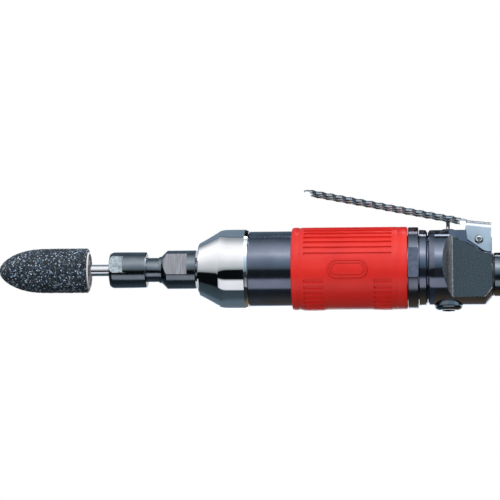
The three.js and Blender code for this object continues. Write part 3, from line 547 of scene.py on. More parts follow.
def cut_flats(bm, x0, x1, across, turn, index=1):
    turn = math.radians(turn)
    for side in (1, -1):
        normal = Vector((0, -math.cos(turn) * side, math.sin(turn) * side))
        reach = across / 2
        sliced(bm, normal * reach, normal)
        for x in (x0, x0 - 0.02, x1, x1 + 0.02):
            sliced(bm, (x, 0, 0), (1, 0, 0))
        for vert in bm.verts:
            height = vert.co.dot(normal)
            if x0 - 0.005 < vert.co.x < x1 + 0.005 and height > reach:
                vert.co -= normal * (height - reach)
        for face in bm.faces:
            on_plane = all(abs(v.co.dot(normal) - reach) < 1e-3 for v in face.verts)
            if on_plane and all(x0 - 0.01 < v.co.x < x1 + 0.01 for v in face.verts):
                face.material_index = index


x, rear = ends("collet_nut")
nut_radius = 9.3
nut_across_flats = 16.1
nut_turned = 14
profile = [(x, 4.35), (x, 7.4), (x + 0.35, 8.35), (x + 1.1, 8.9), (x + 2.3, nut_radius)]
profile += [(x + 10, nut_radius), (rear - 0.5, 9.2), (rear, 8.7), (rear, 6.36), (x + 7.8, 6.36)]
profile += [(x + 6, 5.57), (x + 3, 5.57)]
bm = turned(profile, 180)
cut_flats(bm, x - 1, x + 7.3, nut_across_flats, nut_turned)
piece(
    bm, "dark_collet_nut", "nut_group", ["collet_nut"], [gunmetal, nut_flat_steel], bevel=0.16)


# ---------------------------------------------------------------- spindle
# One forged and ground shaft. The nose takes the collet, the collar has two flats milled across it
# for the second spanner, and the part that is hidden runs back through both bearings.
spindle_flat_steel, tree, shader, place = new_finish("milled_flat_steel", Metallic=0.6)
mark, cloud = marked(tree, place, (1900, 90, 90))
flat_colour = ramp(tree, mark, (0.35, (0.17, 0.17, 0.19)), (0.65, (0.31, 0.31, 0.34)))
dressed(tree, shader, flat_colour, (cloud, 0.34, 0.52), (mark, 0.35, 0.00008))

nose, tail = ends("spindle")
collar = nose + 17.7
collar_rear = collar + 18.9
collar_across_flats = 16.4
collar_turned = 13
bearing = ends("front_bearing_inner")[1]
profile = [(nose + 25, 0), (nose + 25, 3.2), (nose + 14, 4.1), (nose, 4.6), (nose, 5.75), (nose + 0.5, 6.25)]
profile += [(collar - 0.4, 6.25), (collar - 0.3, 6.7), (collar + 1.0, 7.0), (collar + 1.2, 7.25)]
profile += [(collar + 3.8, 9.8), (collar + 4.0, 9.95), (collar_rear - 0.3, 9.95), (collar_rear, 9.65)]
profile += [(collar_rear, 6.0), (bearing, 6.0), (bearing, 5.0), (tail - 9, 5.0), (tail - 9, 4.0)]
profile += [(tail - 0.5, 4.0), (tail, 3.5), (tail, 0)]
bm = turned(profile, 180)
cut_flats(bm, collar - 1, collar + 14.4, collar_across_flats, collar_turned)
piece(
    bm, "ground_spindle", "spindle_group", ["spindle"], [gunmetal, spindle_flat_steel],
    bevel=0.16)


# ---------------------------------------------------------------- nose cap
# A deep steel cup, turned to a cone at its front and chrome plated all over. It screws on to the
# front of the motor housing and holds the front bearing plate.
chrome, tree, shader, place = new_finish("chrome_plate", Metallic=1.0)
mark, cloud = marked(tree, place, (300, 300, 300))
chrome_colour = ramp(tree, cloud, (0.3, (0.80, 0.81, 0.83)), (0.7, (0.86, 0.87, 0.88)))
dressed(tree, shader, chrome_colour, (mark, 0.02, 0.06), (cloud, 0.03, 0.0002))

cap_front_shift = 0.9
cap_rear_shift = 0.85
cap_radius = 20.4
cap_bore = 18.35
x, rear = ends("nose_cap")
x += cap_front_shift
rear += cap_rear_shift
profile = [(x, 7.0), (x, 12.2), (x + 0.15, 12.9), (x + 0.7, 13.6)]
profile += curve((x + 0.7, 13.6), (x + 4.2, 15.5), (x + 7.7, 17.5), (x + 10.9, 19.5), 12)[1:]
profile += [(x + 11.2, 19.75)]
profile += curve((x + 11.2, 19.75), (x + 12.3, 20.15), (x + 13.6, 20.35), (x + 15.2, 20.38), 8)[1:]
profile += [(x + 19, cap_radius), (rear - 1.7, cap_radius), (rear - 1.45, 20.25), (rear - 0.2, 19.7)]
profile += [(rear, 19.45), (rear, cap_bore), (rear - 12.1, cap_bore), (rear - 12.1, 16.9)]
profile += [(x + 11.6, 16.9), (x + 5.1, 13.7)]
profile += [(x + 2.9, 12.2), (x + 2.9, 7.0)]
bm = turned(profile, 220)
piece(bm, "chrome_nose_cap", "tool_body", ["nose_cap"], [chrome], sharp=12)


# ---------------------------------------------------------------- motor housing
# A steel tube, blued and lacquered, that carries the air motor. Only a short band of it shows
# between the cap and the grip; the rest is under the grip.
blued, tree, shader, place = new_finish("blued_tube", Metallic=0.97)
mark, cloud = marked(tree, place, (900, 25, 25))
tube_colour = ramp(tree, cloud, (0.3, (0.145, 0.165, 0.215)), (0.7, (0.185, 0.205, 0.265)))
dressed(tree, shader, tube_colour, (mark, 0.08, 0.2), (mark, 0.15, 0.00004))

x, rear = ends("motor_housing")
band_end = ends("grip_sleeve")[0] + 1.1
cap_end = ends("nose_cap")[1] + cap_rear_shift
tube_bore = 16.9
tube_radius = 19.3
under_grip = 18.9
profile = [(x, tube_bore), (x, 17.6), (x + 0.5, 18.1), (cap_end + 0.3, 18.1), (cap_end + 0.3, 19.1)]
profile += [(cap_end + 0.6, tube_radius), (band_end, tube_radius), (band_end, under_grip)]
profile += [(rear, under_grip), (rear, tube_bore)]
bm = turned(profile, 180)
piece(bm, "blued_motor_tube", "tool_body", ["motor_housing"], [blued])


# ---------------------------------------------------------------- grip sleeve
# A moulded red rubber sleeve pushed over the tube. Narrow grooves run lengthwise over its top, with
# short groups of them at both ends underneath, and an oval pad is moulded on its side.
rubber, tree, shader, place = new_finish("red_rubber", Specular_IOR_Level=0.35)
pores = add_node(tree, "ShaderNodeTexNoise", None, Vector=place, Scale=900.0, Detail=4.0)
patches = add_node(tree, "ShaderNodeTexNoise", None, Vector=place, Scale=45.0, Detail=3.0)
red = ramp(tree, patches.outputs[0], (0.3, (0.60, 0.018, 0.014)), (0.7, (0.70, 0.026, 0.018)))
dressed(tree, shader, red, (pores.outputs[0], 0.27, 0.4), (pores.outputs[0], 0.12, 0.00006))

half = ends("grip_sleeve")[1]
sleeve_radius = 21.1
sleeve_top = 21.12
sleeve_bore = 19.1
sleeve_turn = -9
groove_count = 16
groove_pitch = 9.25
groove_width = 4.75
groove_depth = 0.8
first_groove = 20.5
first_short_groove = 17.25
nose = -half + 1.3
profile = [(nose, 19.6), (nose, 20.2), (nose + 0.3, 20.85), (nose + 1.0, 21.15), (nose + 2.9, 21.15)]
profile += [(nose + 3.6, 20.9), (nose + 4.3, 20.85), (-half + 6.2, 21.1), (-half + 7.2, 21.35)]
profile += [(-half + 7.75, 21.4), (-half + 12, 21.45), (-half + 16, 21.4), (-half + 17.75, 21.3)]
profile += [(-half + 19.0, 21.05), (-half + 19.7, 21.0), (half - 18.4, 21.0), (half - 16.95, 21.15)]
profile += [(half - 12, 21.28), (half - 7.95, 21.25), (half - 7, 21.1), (half - 5.4, 21.1)]
profile += [(half - 5.0, 20.95), (half - 4.6, 21.1), (half - 0.8, 21.05), (half - 0.2, 20.8)]
profile += [(half, 20.4), (half, sleeve_bore), (nose, sleeve_bore)]
bm = turned(profile, 1440)
for vert in bm.verts:
    radius = off_axis(vert.co)
    if radius > 20.9 and abs(vert.co.x) < half - 7:
        share = min(1.0, max(0.0, vert.co.z / radius * 3 + 0.5))
        share *= (sleeve_top - radius) / radius
        vert.co.y += vert.co.y * share
        vert.co.z += vert.co.z * share
cuts = []
for count in range(groove_count):
    angle = first_groove + count * groove_pitch
    below = first_groove - first_short_groove - angle
    cuts.append((angle, -half + 7.7, half - 7.9))
    cuts.append((below, -half + 7.7, -half + 17.8))
    cuts.append((below, half - 17.0, half - 7.9))
chosen = []
for face in bm.faces:
    middle = face.calc_center_median()
    if off_axis(middle) < 20.8 or abs(middle.x) > half - 7:
        continue
    around = math.degrees(math.atan2(middle.z, -middle.y)) - sleeve_turn
    for angle, low, high in cuts:
        off = (around - angle + 180) % 360 - 180
        if abs(off) < groove_width / 2 and low < middle.x < high:
            chosen.append(face)
            break
sunk = new_verts(bmesh.ops.extrude_face_region(bm, geom=chosen))
bmesh.ops.delete(bm, geom=chosen, context="FACES")
for vert in sunk:
    radius = off_axis(vert.co)
    share = (radius - groove_depth) / radius
    vert.co.y *= share
    vert.co.z *= share
bmesh.ops.remove_doubles(bm, verts=bm.verts, dist=1e-5)
piece(
    bm, "red_grip_sleeve", "tool_body", ["grip_sleeve"], [rubber],
    sharp=40, bevel=0.24, bevel_angle=45)


# ---------------------------------------------------------------- oval pad on the grip
# A blank oval pad of the same rubber, moulded on the sleeve. Its rim stands a third of a millimetre
# proud, and a lower bead runs inside the rim. The walls of the rim and the bead are painted a darker
# red, as painted shade.
shaded_rubber, tree, shader, place = new_finish("shaded_rubber", Specular_IOR_Level=0.3)
pores = add_node(tree, "ShaderNodeTexNoise", None, Vector=place, Scale=900.0, Detail=4.0)
painted_shade_red = ramp(tree, pores.outputs[0], (0.3, (0.36, 0.010, 0.008)), (0.7, (0.46, 0.016, 0.012)))
dressed(tree, shader, painted_shade_red, (pores.outputs[0], 0.4, 0.55), (pores.outputs[0], 0.12, 0.00006))

pad_half_length = 10.3
pad_half_height = 4.95
bm = bmesh.new()
bmesh.ops.create_circle(bm, cap_ends=True, segments=96, radius=pad_half_height)
for vert in bm.verts:
    if abs(vert.co.x) > 1e-4:
        vert.co.x += math.copysign(pad_half_length - pad_half_height, vert.co.x)
bmesh.ops.recalc_face_normals(bm, faces=bm.faces)
if bm.faces[:][0].normal.z < 0:
    bmesh.ops.reverse_faces(bm, faces=bm.faces)
bmesh.ops.translate(bm, verts=bm.verts, vec=(0, 0, -0.02))


def stepped_in(wide, rise):
    top = [face for face in bm.faces if len(face.verts) > 8]
    step = bmesh.ops.inset_region(bm, faces=top, thickness=wide, use_even_offset=True, use_boundary=True)
    for face in step["faces"]:
        # Walls that rise or fall take the darker red: painted shade.
        face.material_index = 1 if rise else 0
    top = [face for face in bm.faces if len(face.verts) > 8]
    bmesh.ops.translate(bm, verts=list({v for face in top for v in face.verts}), vec=(0, 0, rise))


rim_steps = ((0.3, 0.34), (0.45, 0.0), (0.3, -0.3))
bead_steps = ((0.7, 0.0), (0.25, 0.2), (0.25, 0.0), (0.25, -0.2))
flat_steps = ((0.5, 0.0),) * 4
for wide, rise in rim_steps + bead_steps + flat_steps:
    stepped_in(wide, rise)
rim = [edge for edge in bm.edges if edge.is_boundary]
lower = new_verts(bmesh.ops.extrude_edge_only(bm, edges=rim))
bmesh.ops.translate(bm, verts=lower, vec=(0, 0, -0.4))
bmesh.ops.contextual_create(bm, geom=[edge for edge in bm.edges if edge.is_boundary])
bmesh.ops.recalc_face_normals(bm, faces=bm.faces)
for vert in bm.verts:
    around = vert.co.y / sleeve_radius
    radius = sleeve_radius + vert.co.z
    vert.co = Vector((vert.co.x, -radius * math.cos(around), radius * math.sin(around)))
bmesh.ops.rotate(
    bm, verts=bm.verts, cent=(0, 0, 0), matrix=Matrix.Rotation(math.radians(-sleeve_turn), 3, "X"))
piece(bm, "oval_grip_pad", "tool_body", ["grip_badge"], [rubber, shaded_rubber], sharp=30)


# ---------------------------------------------------------------- lock ring and exhaust ring
# Two blued steel rings behind the grip. The lock ring has a flat milled on each side and clamps the
# housing to the valve body; the exhaust ring closes the gap behind it.
ring_steel, tree, shader, place = new_finish("ring_steel", Metallic=1.0)
mark, cloud = marked(tree, place, (1300, 30, 30))
ring_colour = ramp(tree, cloud, (0.3, (0.13, 0.14, 0.175)), (0.7, (0.19, 0.20, 0.25)))
dressed(tree, shader, ring_colour, (mark, 0.12, 0.28), (mark, 0.3, 0.00006))

ring_flat, tree, shader, place = new_finish("ring_flat_steel", Metallic=0.95)
mark, cloud = marked(tree, place, (420, 420, 420))
ring_flat_colour = ramp(tree, mark, (0.35, (0.13, 0.15, 0.20)), (0.65, (0.21, 0.23, 0.32)))
dressed(tree, shader, ring_flat_colour, (cloud, 0.4, 0.6), (mark, 0.4, 0.00008))

x, rear = ends("lock_ring")
ring_radius = 20.85
ring_across_flats = 38.8
profile = [(x, tube_bore), (x, 20.5), (x + 0.3, ring_radius), (rear - 0.4, ring_radius), (rear, 20.35)]
bm = turned(profile + [(rear, tube_bore)], 180)
cut_flats(bm, x - 1, rear + 1, ring_across_flats, 0)
piece(
    bm, "flatted_lock_ring", "tool_body", ["lock_ring"], [ring_steel, ring_flat],
    bevel=0.15, bevel_angle=20)

x, rear = ends("exhaust_ring")
profile = [(x, tube_bore), (x, 19.2), (x + 0.3, 19.5), (rear - 0.8, 19.3), (rear, 18.1), (rear, tube_bore)]
bm = turned(profile, 180)
piece(bm, "rear_closing_ring", "tool_body", ["exhaust_ring"], [blued])


# ---------------------------------------------------------------- valve body
# A cast body, turned at the front and painted gloss black. Its sides are milled to flat cheeks that
# are left grained, and a narrow lug on top carries the lever. The slanted facets in front of the
# cheeks carry a painted highlight towards their rear, and a thin light border round each cheek is a
# painted edge highlight.
gloss_black, tree, shader, place = new_finish("gloss_black_paint", Metallic=0.95)
mark, cloud = marked(tree, place, (60, 60, 60))
black_colour = ramp(tree, cloud, (0.3, (0.14, 0.16, 0.21)), (0.7, (0.18, 0.20, 0.26)))
dressed(tree, shader, black_colour, (mark, 0.06, 0.14), (cloud, 0.06, 0.0002))

cheek_paint, tree, shader, place = new_finish("grained_cheek_paint", Metallic=0.6)
speck = add_node(tree, "ShaderNodeTexNoise", None, Vector=place, Scale=1500.0, Detail=3.0, Roughness=0.7)
patch = add_node(tree, "ShaderNodeTexNoise", None, Vector=place, Scale=160.0, Detail=3.0)
speck_colour = ramp(
    tree, speck.outputs[0],
    (0.32, (0.022, 0.040, 0.055)), (0.55, (0.050, 0.080, 0.100)), (0.72, (0.11, 0.15, 0.18)))
cheek_colour = mixed(tree, between(tree, patch.outputs[0], 0.0, 0.35), speck_colour, (0.09, 0.10, 0.12))
dressed(tree, shader, cheek_colour, (speck.outputs[0], 0.45, 0.7), (speck.outputs[0], 0.35, 0.0001))

# Paint for the slanted facets in front of the cheeks: dark at the front of each facet and light grey towards
# its rear, a painted highlight where the light catches it.
lit_bevel, tree, shader, place = new_finish("lit_bevel_paint", Metallic=0.7)
speck = add_node(tree, "ShaderNodeTexNoise", None, Vector=place, Scale=900.0, Detail=4.0, Roughness=0.7)
along = add_node(tree, "ShaderNodeSeparateXYZ", None, Vector=place).outputs[0]
dull = ramp(tree, speck.outputs[0], (0.35, (0.035, 0.042, 0.05)), (0.65, (0.15, 0.16, 0.17)))
bevel_highlight = ramp(tree, speck.outputs[0], (0.35, (0.20, 0.19, 0.18)), (0.65, (0.55, 0.52, 0.49)))
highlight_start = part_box("valve_body")[1].x - 0.0225
highlight_share = add_node(tree, "ShaderNodeMapRange", None, Value=along, From_Min=highlight_start, From_Max=highlight_start + 0.0022)
bevel_colour = mixed(tree, highlight_share.outputs[0], dull, bevel_highlight)
dressed(tree, shader, bevel_colour, (speck.outputs[0], 0.35, 0.6), (speck.outputs[0], 0.4, 0.0001))

# Light speckled paint for a thin border round each cheek: a painted edge highlight.
cheek_edge_highlight, tree, shader, place = new_finish("painted_edge_highlight", Metallic=0.6)
speck = add_node(tree, "ShaderNodeTexNoise", None, Vector=place, Scale=700.0, Detail=4.0, Roughness=0.7)
edge_colour = ramp(tree, speck.outputs[0], (0.35, (0.07, 0.09, 0.11)), (0.65, (0.62, 0.64, 0.66)))
dressed(tree, shader, edge_colour, (speck.outputs[0], 0.35, 0.6), (speck.outputs[0], 0.3, 0.0001))

spigot, rear = ends("valve_body")
front = rear - 32.4
cheek_y = 10.0
cheek_x = front + 12.3
lug_half = 5.2
body_radius = 19.3
cheek_slope = (body_radius - cheek_y) / 5.15
shoulder_z = 14.9
shoulder_slope = -0.522
shoulder_x = cheek_x - 1.6
highlight_border = 0.28
profile = [(spigot, 0), (spigot, 16.2), (spigot + 0.5, 16.6), (front, 16.6), (front, 18.1)]
profile += [(front + 0.7, 19.15), (front + 1.1, body_radius)]
profile += [(front + 4 * step, body_radius) for step in range(1, 7)]
profile += [(rear - 4.0, body_radius), (rear - 3.4, 19.1), (rear - 3.0, 18.75), (rear, 15.4), (rear, 0)]
bm = turned(profile, 240)
for side in (-1, 1):
    sliced(bm, (0, side * cheek_y, 0), (0, 1, 0))
    sliced(bm, (cheek_x, side * cheek_y, 0), (cheek_slope, side, 0))
    sliced(bm, (0, side * lug_half, 0), (0, 1, 0))
    sliced(bm, (0, side * (lug_half + 0.03), 0), (0, 1, 0))
for x in (cheek_x, shoulder_x, shoulder_x + 0.03):
    sliced(bm, (x, 0, 0), (1, 0, 0))
sliced(bm, (cheek_x, 0, shoulder_z), (-shoulder_slope, 0, 1))
for vert in bm.verts:
    if vert.co.x < front + 2:
        continue
    limit = cheek_y + max(0.0, (cheek_x - vert.co.x) * cheek_slope)
    if abs(vert.co.y) > limit:
        vert.co.y = math.copysign(limit, vert.co.y)
    top = shoulder_z + shoulder_slope * (vert.co.x - cheek_x)
    if abs(vert.co.y) > lug_half + 0.01 and vert.co.x > shoulder_x + 0.01 and vert.co.z > top:
        vert.co.z = top
bm = settled(bm)
bmesh.ops.remove_doubles(bm, verts=bm.verts, dist=1e-4)
bmesh.ops.dissolve_degenerate(bm, dist=1e-4, edges=bm.edges)
bm = settled(bm)


def on_cheek(at):
    return abs(abs(at.y) - cheek_y) < 1e-3 and at.x > cheek_x - 1e-3


def on_facet(at):
    return abs(abs(at.y) - cheek_y - (cheek_x - at.x) * cheek_slope) < 1e-3 and at.x < cheek_x + 1e-3


def on_lug(at):
    return abs(abs(at.y) - lug_half) < 1e-3 and at.x > shoulder_x - 0.1 and at.z > 5


cheeks = []
for face in bm.faces:
    if face.calc_center_median().x < front + 2:
        continue
    if all(on_cheek(v.co) for v in face.verts):
        face.material_index = 1
        cheeks.append(face)
    elif all(on_facet(v.co) for v in face.verts):
        # The slanted facets take the painted highlight paint.
        face.material_index = 2
    elif all(on_lug(v.co) for v in face.verts):
        face.material_index = 1
# A thin border is inset round each cheek and given the painted edge highlight.
border = bmesh.ops.inset_region(
    bm, faces=cheeks, thickness=highlight_border, use_even_offset=False, use_boundary=True)
for face in border["faces"]:
    face.material_index = 3
body = piece(
    bm, "painted_valve_body", "tool_body", ["valve_body"],
    [gloss_black, cheek_paint, lit_bevel, cheek_edge_highlight], sharp=25)


def drilled(obj, *bits):
    for bit in bits:
        hole = obj.modifiers.new("hole", "BOOLEAN")
        hole.object = bit
        hole.operation = "DIFFERENCE"
        hole.solver = "EXACT"
    bpy.context.view_layer.update()
    cut = obj.evaluated_get(bpy.context.evaluated_depsgraph_get())
    finished = bpy.data.meshes.new_from_object(cut)
    obj.modifiers.clear()
    obj.data = finished
    for bit in bits:
        bpy.data.objects.remove(bit)


def drill_bit(radius, start, end, steps=64):
    start, end = Vector(start), Vector(end)
    bm = bmesh.new()
    bmesh.ops.create_cone(
        bm, cap_ends=True, segments=steps, radius1=radius, radius2=radius, depth=(end - start).length)
    aim = (end - start).to_track_quat("Z", "X").to_matrix().to_4x4()
    bmesh.ops.transform(bm, matrix=Matrix.Translation((start + end) / 2) @ aim, verts=bm.verts)
    bmesh.ops.scale(bm, vec=(0.001, 0.001, 0.001), verts=bm.verts)
    data = bpy.data.meshes.new("drill_bit")
    bm.to_mesh(data)
    bm.free()
    made = bpy.data.objects.new("drill_bit", data)
    scene.collection.objects.link(made)
    return made


stem_x = sum(ends("valve_stem")) / 2
plug_bore = 7.3
bush_bore = 3.45
inlet_bore = 8.1
inlet_z = -3.75
exhaust_bore = 1.5
exhaust_y, exhaust_z = 6.5, 8.2
drilled(
    body,
    drill_bit(plug_bore, (stem_x, 0, -30), (stem_x, 0, -17.4)),
    drill_bit(bush_bore, (stem_x, 0, 12), (stem_x, 0, 30)),
    drill_bit(inlet_bore, (rear - 11, 0, inlet_z), (rear + 5, 0, inlet_z)),
    *(drill_bit(exhaust_bore, (rear - 20, y, exhaust_z), (rear + 5, y, exhaust_z), 32)
      for y in (exhaust_y, -exhaust_y)),
)


# ---------------------------------------------------------------- throttle valve, stem and bush
# The lever pushes a thin hardened stem down through a brass bush in the lug. The stem lifts a brass
# valve with a rubber seal off its seat, and a coil spring closes it again.
brass, tree, shader, place = new_finish("turned_brass", Metallic=1.0)
mark, cloud = marked(tree, place, (60, 60, 2200))
brass_colour = ramp(tree, cloud, (0.3, (0.50, 0.34, 0.13)), (0.7, (0.66, 0.48, 0.20)))
dressed(tree, shader, brass_colour, (mark, 0.2, 0.4), (mark, 0.3, 0.00005))

def turned_up(profile, x, steps=96):
    bm = turned(profile, steps)
    bmesh.ops.rotate(
        bm, verts=bm.verts, cent=(0, 0, 0), matrix=Matrix.Rotation(math.radians(-90), 3, "Y"))
    bmesh.ops.translate(bm, verts=bm.verts, vec=(x, 0, 0))
    return bm


foot, top = heights("valve_stem")
stem_radius = 0.95
profile = [(foot, 0), (foot, stem_radius), (top - 0.5, stem_radius), (top - 0.15, 0.75), (top, 0.35)]
bm = turned_up(profile + [(top, 0)], stem_x, 48)
piece(bm, "hardened_stem", "valve", ["valve_stem"], [polished])

low, high = heights("valve_bush")
profile = [(low, 1.03), (low, 3.4), (high - 0.25, 3.4), (high, 3.1), (high, 1.6), (high - 0.3, 1.03)]
piece(turned_up(profile, stem_x), "stem_bush", "tool_body", ["valve_bush"], [gunmetal])


# ---------------------------------------------------------------- valve plug
# A round-headed blued steel screw plug in the underside, with a hexagon socket. It closes the valve
# chamber and holds the spring.
low, high = heights("valve_plug")
head = low + 4.5
socket_radius = 3.7
profile = [(high, 0), (high, 6.1), (head, 6.1), (head, 7.0), (head - 2.2, 7.0)]
profile += curve((head - 2.2, 7.0), (head - 3.1, 6.95), (head - 4.0, 6.4), (low, 4.6), 12)[1:]
profile += [(low, 0)]
bm = turned_up(profile, stem_x, 128)
plug = piece(bm, "round_head_plug", "tool_body", ["valve_plug"], [gunmetal], sharp=35)
drilled(plug, drill_bit(socket_radius, (stem_x, 0, low - 1), (stem_x, 0, low + 2.9), 6))


# ---------------------------------------------------------------- air inlet
# A turned steel bushing screwed into the back of the body over a rubber washer, with flats for a
# spanner and a tapped mouth for the hose fitting. A brass strainer sits inside it.
x, end = ends("inlet_bushing")
collar = end - 15
inlet_radius = 11.2
inlet_across_flats = 19
thread_pitch = 1.2
profile = [(x, 5.4), (x, 7.6), (x + 0.4, 8.0), (collar, 8.0), (collar, 10.8), (collar + 0.4, inlet_radius)]
profile += [(end - 0.7, inlet_radius), (end - 0.15, 10.8), (end, 10.3), (end, 7.0), (end - 1.0, 6.3)]
for turn_count in range(8):
    at = end - 1.0 - turn_count * thread_pitch
    profile += [(at - 0.5, 5.8), (at - 1.1, 6.3)]
profile += [(end - 11, 5.8), (end - 11, 4.4), (x + 4, 4.4), (x + 4, 5.4)]
bm = turned(profile, 160)
cut_flats(bm, end - 8.5, end + 1, inlet_across_flats, 0)
bmesh.ops.translate(bm, verts=bm.verts, vec=(0, 0, inlet_z))
piece(
    bm, "inlet_bushing_turned", "tool_body", ["inlet_bushing"], [gunmetal, ring_flat],
    bevel=0.15)


# ---------------------------------------------------------------- throttle lever
# A strip of plated spring steel, embossed with a chequer for grip. Its recesses, stripes on its sides
# and the upper edge of its sides carry painted shade. Its rear is folded down into two ears that
# straddle the lug and turn on the pin.
plated, tree, shader, place = new_finish("plated_steel", Metallic=1.0)
mark, cloud = marked(tree, place, (800, 120, 800))
plate_colour = ramp(tree, cloud, (0.3, (0.50, 0.53, 0.57)), (0.7, (0.66, 0.69, 0.73)))
dressed(tree, shader, plate_colour, (mark, 0.1, 0.24), (mark, 0.15, 0.00005))

# Dark plate for the chequer hollows, side stripes and upper side edges: painted shade.
recess_shade_plate, tree, shader, place = new_finish("painted_recess_shade", Metallic=0.8)
mark, cloud = marked(tree, place, (800, 120, 800))
recess_shade_colour = ramp(tree, cloud, (0.3, (0.04, 0.045, 0.05)), (0.7, (0.10, 0.11, 0.12)))
dressed(tree, shader, recess_shade_colour, (mark, 0.25, 0.4), (mark, 0.2, 0.00005))

slope = math.radians(11.3)
pin_low, pin_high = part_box("lever_pin")
pivot = Vector(((pin_low.x + pin_high.x) * 500, 0, (pin_low.z + pin_high.z) * 500))
plate = 1.2
under = 7.8
tip = -92.9
ear = -8.1
strip_half = 6.3
ear_out = 6.7
tread_pitch = 5.2
tread_height = 0.6
top_layer = 0.45
corner = 3.4


def chequer(x, y):
    one = math.cos(math.pi * (x / tread_pitch + y / strip_half))
    other = math.cos(math.pi * (x / tread_pitch - y / strip_half))
    return one * other


def clipped(value):
    return min(1.0, max(0.0, value))


bm = bmesh.new()
bmesh.ops.create_grid(bm, x_segments=420, y_segments=44, size=0.5)
for vert in bm.verts:
    across = vert.co.y * 2
    along = vert.co.x + 0.5
    width = strip_half + (ear_out - strip_half) * max(0.0, (along - 0.93) / 0.07)
    start = tip + corner * (1 - math.sqrt(max(0.0, 1 - across * across)))
    x = start + (ear + 0.4 - start) * along
    y = across * width
    share = clipped((1 - abs(across)) * 12 + 0.25) * clipped((x - tip - 3) / 2) * clipped((ear - 2 - x) / 3)
    vert.co = Vector((x, y, under + tread_height * chequer(x, y) * share))
bmesh.ops.recalc_face_normals(bm, faces=bm.faces)
shell = bmesh.ops.extrude_face_region(bm, geom=bm.faces[:])
bmesh.ops.translate(bm, verts=new_verts(shell), vec=(0, 0, plate - top_layer))
lifted_faces = [item for item in shell["geom"] if isinstance(item, bmesh.types.BMFace)]
shell = bmesh.ops.extrude_face_region(bm, geom=lifted_faces)
bmesh.ops.delete(bm, geom=lifted_faces, context="FACES_ONLY")
bmesh.ops.translate(bm, verts=new_verts(shell), vec=(0, 0, top_layer))
bmesh.ops.recalc_face_normals(bm, faces=bm.faces)
# Chequer hollows, stripes on the sides and the upper side edges get the painted shade plate.
for face in bm.faces:
    middle = face.calc_center_median()
    hollow = chequer(middle.x, middle.y) < -0.05
    patterned = tip + 3.5 < middle.x < ear - 3
    upper_edge = abs(face.normal.z) < 0.6 and middle.z > under + plate - top_layer
    side_check = abs(face.normal.y) > 0.6 and math.sin(math.tau * middle.x / tread_pitch) > 0.25
    if patterned and (hollow or side_check) or upper_edge and middle.x < ear - 3:
        face.material_index = 1
strip_mesh = bm

bm = bmesh.new()
bend = 2.8
arch = [(ear_out - plate / 2, -9.0)]
for step in range(9):
    angle = math.pi / 2 * step / 8
    arch.append((
        ear_out - corner + bend * math.cos(angle), under + plate - corner + bend * math.sin(angle)))
arch += [(-y, z) for y, z in reversed(arch)]
line = [bm.verts.new((ear - 1, y, z)) for y, z in arch]
edges = [bm.edges.new(pair) for pair in zip(line, line[1:])]
far = new_verts(bmesh.ops.extrude_edge_only(bm, edges=edges))
bmesh.ops.translate(bm, verts=far, vec=(18, 0, 0))
ear_tilt = Matrix.Rotation(math.radians(-5), 3, "Y")
bmesh.ops.rotate(bm, verts=bm.verts, cent=(ear, 0, under + plate), matrix=ear_tilt)
outline = [(ear, 12), (ear, 5.9), (-5.8, -1.1), (3.3, -5.1), (5.9, -5.4), (7.0, -4.9), (4.2, 12)]
for one, other in zip(outline, outline[1:]):
    edge = Vector((other[0] - one[0], 0, other[1] - one[1]))
    bmesh.ops.bisect_plane(
        bm, geom=bm.verts[:] + bm.edges[:] + bm.faces[:], plane_co=(one[0], 0, one[1]),
        plane_no=(edge.z, 0, -edge.x), clear_inner=False, clear_outer=True, dist=1e-5)
bm = settled(bm)
bmesh.ops.recalc_face_normals(bm, faces=bm.faces)
top = [face for face in bm.faces if abs(face.normal.z) > 0.9 and abs(face.calc_center_median().y) < 2]
if top and top[0].normal.z < 0:
    bmesh.ops.reverse_faces(bm, faces=bm.faces)
for vert in bm.verts:
    vert.normal_update()
for vert, away in [(vert, vert.normal.copy()) for vert in bm.verts]:
    vert.co += away * plate / 2
bmesh.ops.solidify(bm, geom=bm.faces[:], thickness=plate)
bmesh.ops.recalc_face_normals(bm, faces=bm.faces)
arch_mesh = bm

to_tool = Matrix.Translation(pivot) @ Matrix.Rotation(slope, 4, "Y")
for mesh in (strip_mesh, arch_mesh):
    bmesh.ops.transform(mesh, matrix=to_tool, verts=mesh.verts)
piece(
    strip_mesh, "embossed_lever", "lever", ["throttle_lever"], [plated, recess_shade_plate],
    sharp=40, bevel=0.2, bevel_angle=65)
piece(
    arch_mesh, "lever_ears", "lever", [], [plated], sharp=40, bevel=0.18, bevel_angle=40)


# ---------------------------------------------------------------- lever pin
# A headed steel pin through the ears and the lug, riveted over with a dimple at each end.
pin_half = pin_high.y * 1000
profile = [(-pin_half + 0.75, 0), (-pin_half + 0.65, 0.6), (-pin_half + 0.1, 1.05), (-pin_half, 1.2)]
profile += [(-pin_half + 0.03, 1.55), (-pin_half + 0.3, 2.05), (-pin_half + 0.45, 2.3)]
profile += [(-pin_half + 0.8, 2.3), (-pin_half + 0.8, 2.0)]
profile += [(-x, r) for x, r in reversed(profile)]
bm = turned(profile, 96)
bmesh.ops.rotate(bm, verts=bm.verts, cent=(0, 0, 0), matrix=Matrix.Rotation(math.radians(90), 3, "Z"))
bmesh.ops.translate(bm, verts=bm.verts, vec=pivot)
for face in bm.faces:
    from_middle = (face.calc_center_median() - pivot) * Vector((1, 0, 1))
    if not 0.6 <= from_middle.length <= 1.6:
        face.material_index = 1
piece(bm, "riveted_lever_pin", "tool_body", ["lever_pin"], [polished, gunmetal])


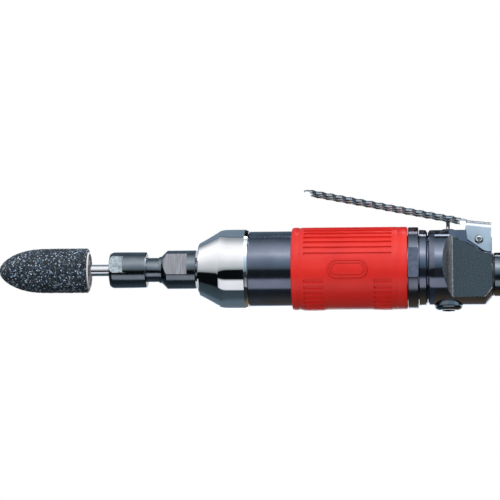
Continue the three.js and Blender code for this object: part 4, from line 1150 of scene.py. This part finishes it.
# ---------------------------------------------------------------- parts inside
# The air motor, its bearings and the valve parts keep their made shape. They are ground steel, grey
# cast iron, fibre vanes, felt, rubber and spring wire.
cast_iron, tree, shader, place = new_finish("ground_cast_iron", Metallic=0.85)
mark, cloud = marked(tree, place, (1200, 60, 60))
iron_colour = ramp(tree, mark, (0.3, (0.22, 0.23, 0.24)), (0.7, (0.36, 0.37, 0.38)))
dressed(tree, shader, iron_colour, (cloud, 0.3, 0.5), (mark, 0.3, 0.00005))

fibre, tree, shader, place = new_finish("fibre_vane", Roughness=0.7)
mark, cloud = marked(tree, place, (90, 1400, 1400))
fibre_colour = ramp(tree, mark, (0.3, (0.16, 0.09, 0.045)), (0.7, (0.30, 0.18, 0.09)))
dressed(tree, shader, fibre_colour, None, (mark, 0.4, 0.00008))

felt, tree, shader, place = new_finish("pressed_felt", Roughness=0.95)
hairs = add_node(tree, "ShaderNodeTexNoise", None, Vector=place, Scale=1800.0, Detail=6.0, Distortion=1.2)
felt_colour = ramp(tree, hairs.outputs[0], (0.3, (0.42, 0.40, 0.34)), (0.7, (0.68, 0.65, 0.57)))
dressed(tree, shader, felt_colour, None, (hairs.outputs[0], 0.8, 0.0003))

seal, tree, shader, place = new_finish("seal_rubber", Roughness=0.6)
mark, cloud = marked(tree, place, (400, 400, 400))
seal_colour = ramp(tree, mark, (0.3, (0.010, 0.010, 0.011)), (0.7, (0.030, 0.030, 0.032)))
dressed(tree, shader, seal_colour, (cloud, 0.5, 0.75), None)

bearing_parts = [f"{end}_bearing_{part}" for end in ("front", "rear") for part in ("outer", "inner", "balls")]
inside = (
    (polished, ["collet", "locating_pin", "wave_washer", "valve_spring", *bearing_parts]),
    (cast_iron, ["rotor", "front_end_plate", "motor_cylinder", "rear_end_plate", "rear_spacer"]),
    (fibre, [f"rotor_vane_{count}" for count in range(1, 6)]),
    (felt, ["silencer_felt", "dust_seal"]),
    (brass, ["throttle_valve", "inlet_strainer"]),
    (seal, ["valve_seal", "plug_oring", "stem_oring", "inlet_washer"]),
)
for finish, names in inside:
    for name in names:
        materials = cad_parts[name].data.materials
        materials.clear()
        materials.append(finish)

bpy.context.view_layer.update()
low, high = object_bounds()
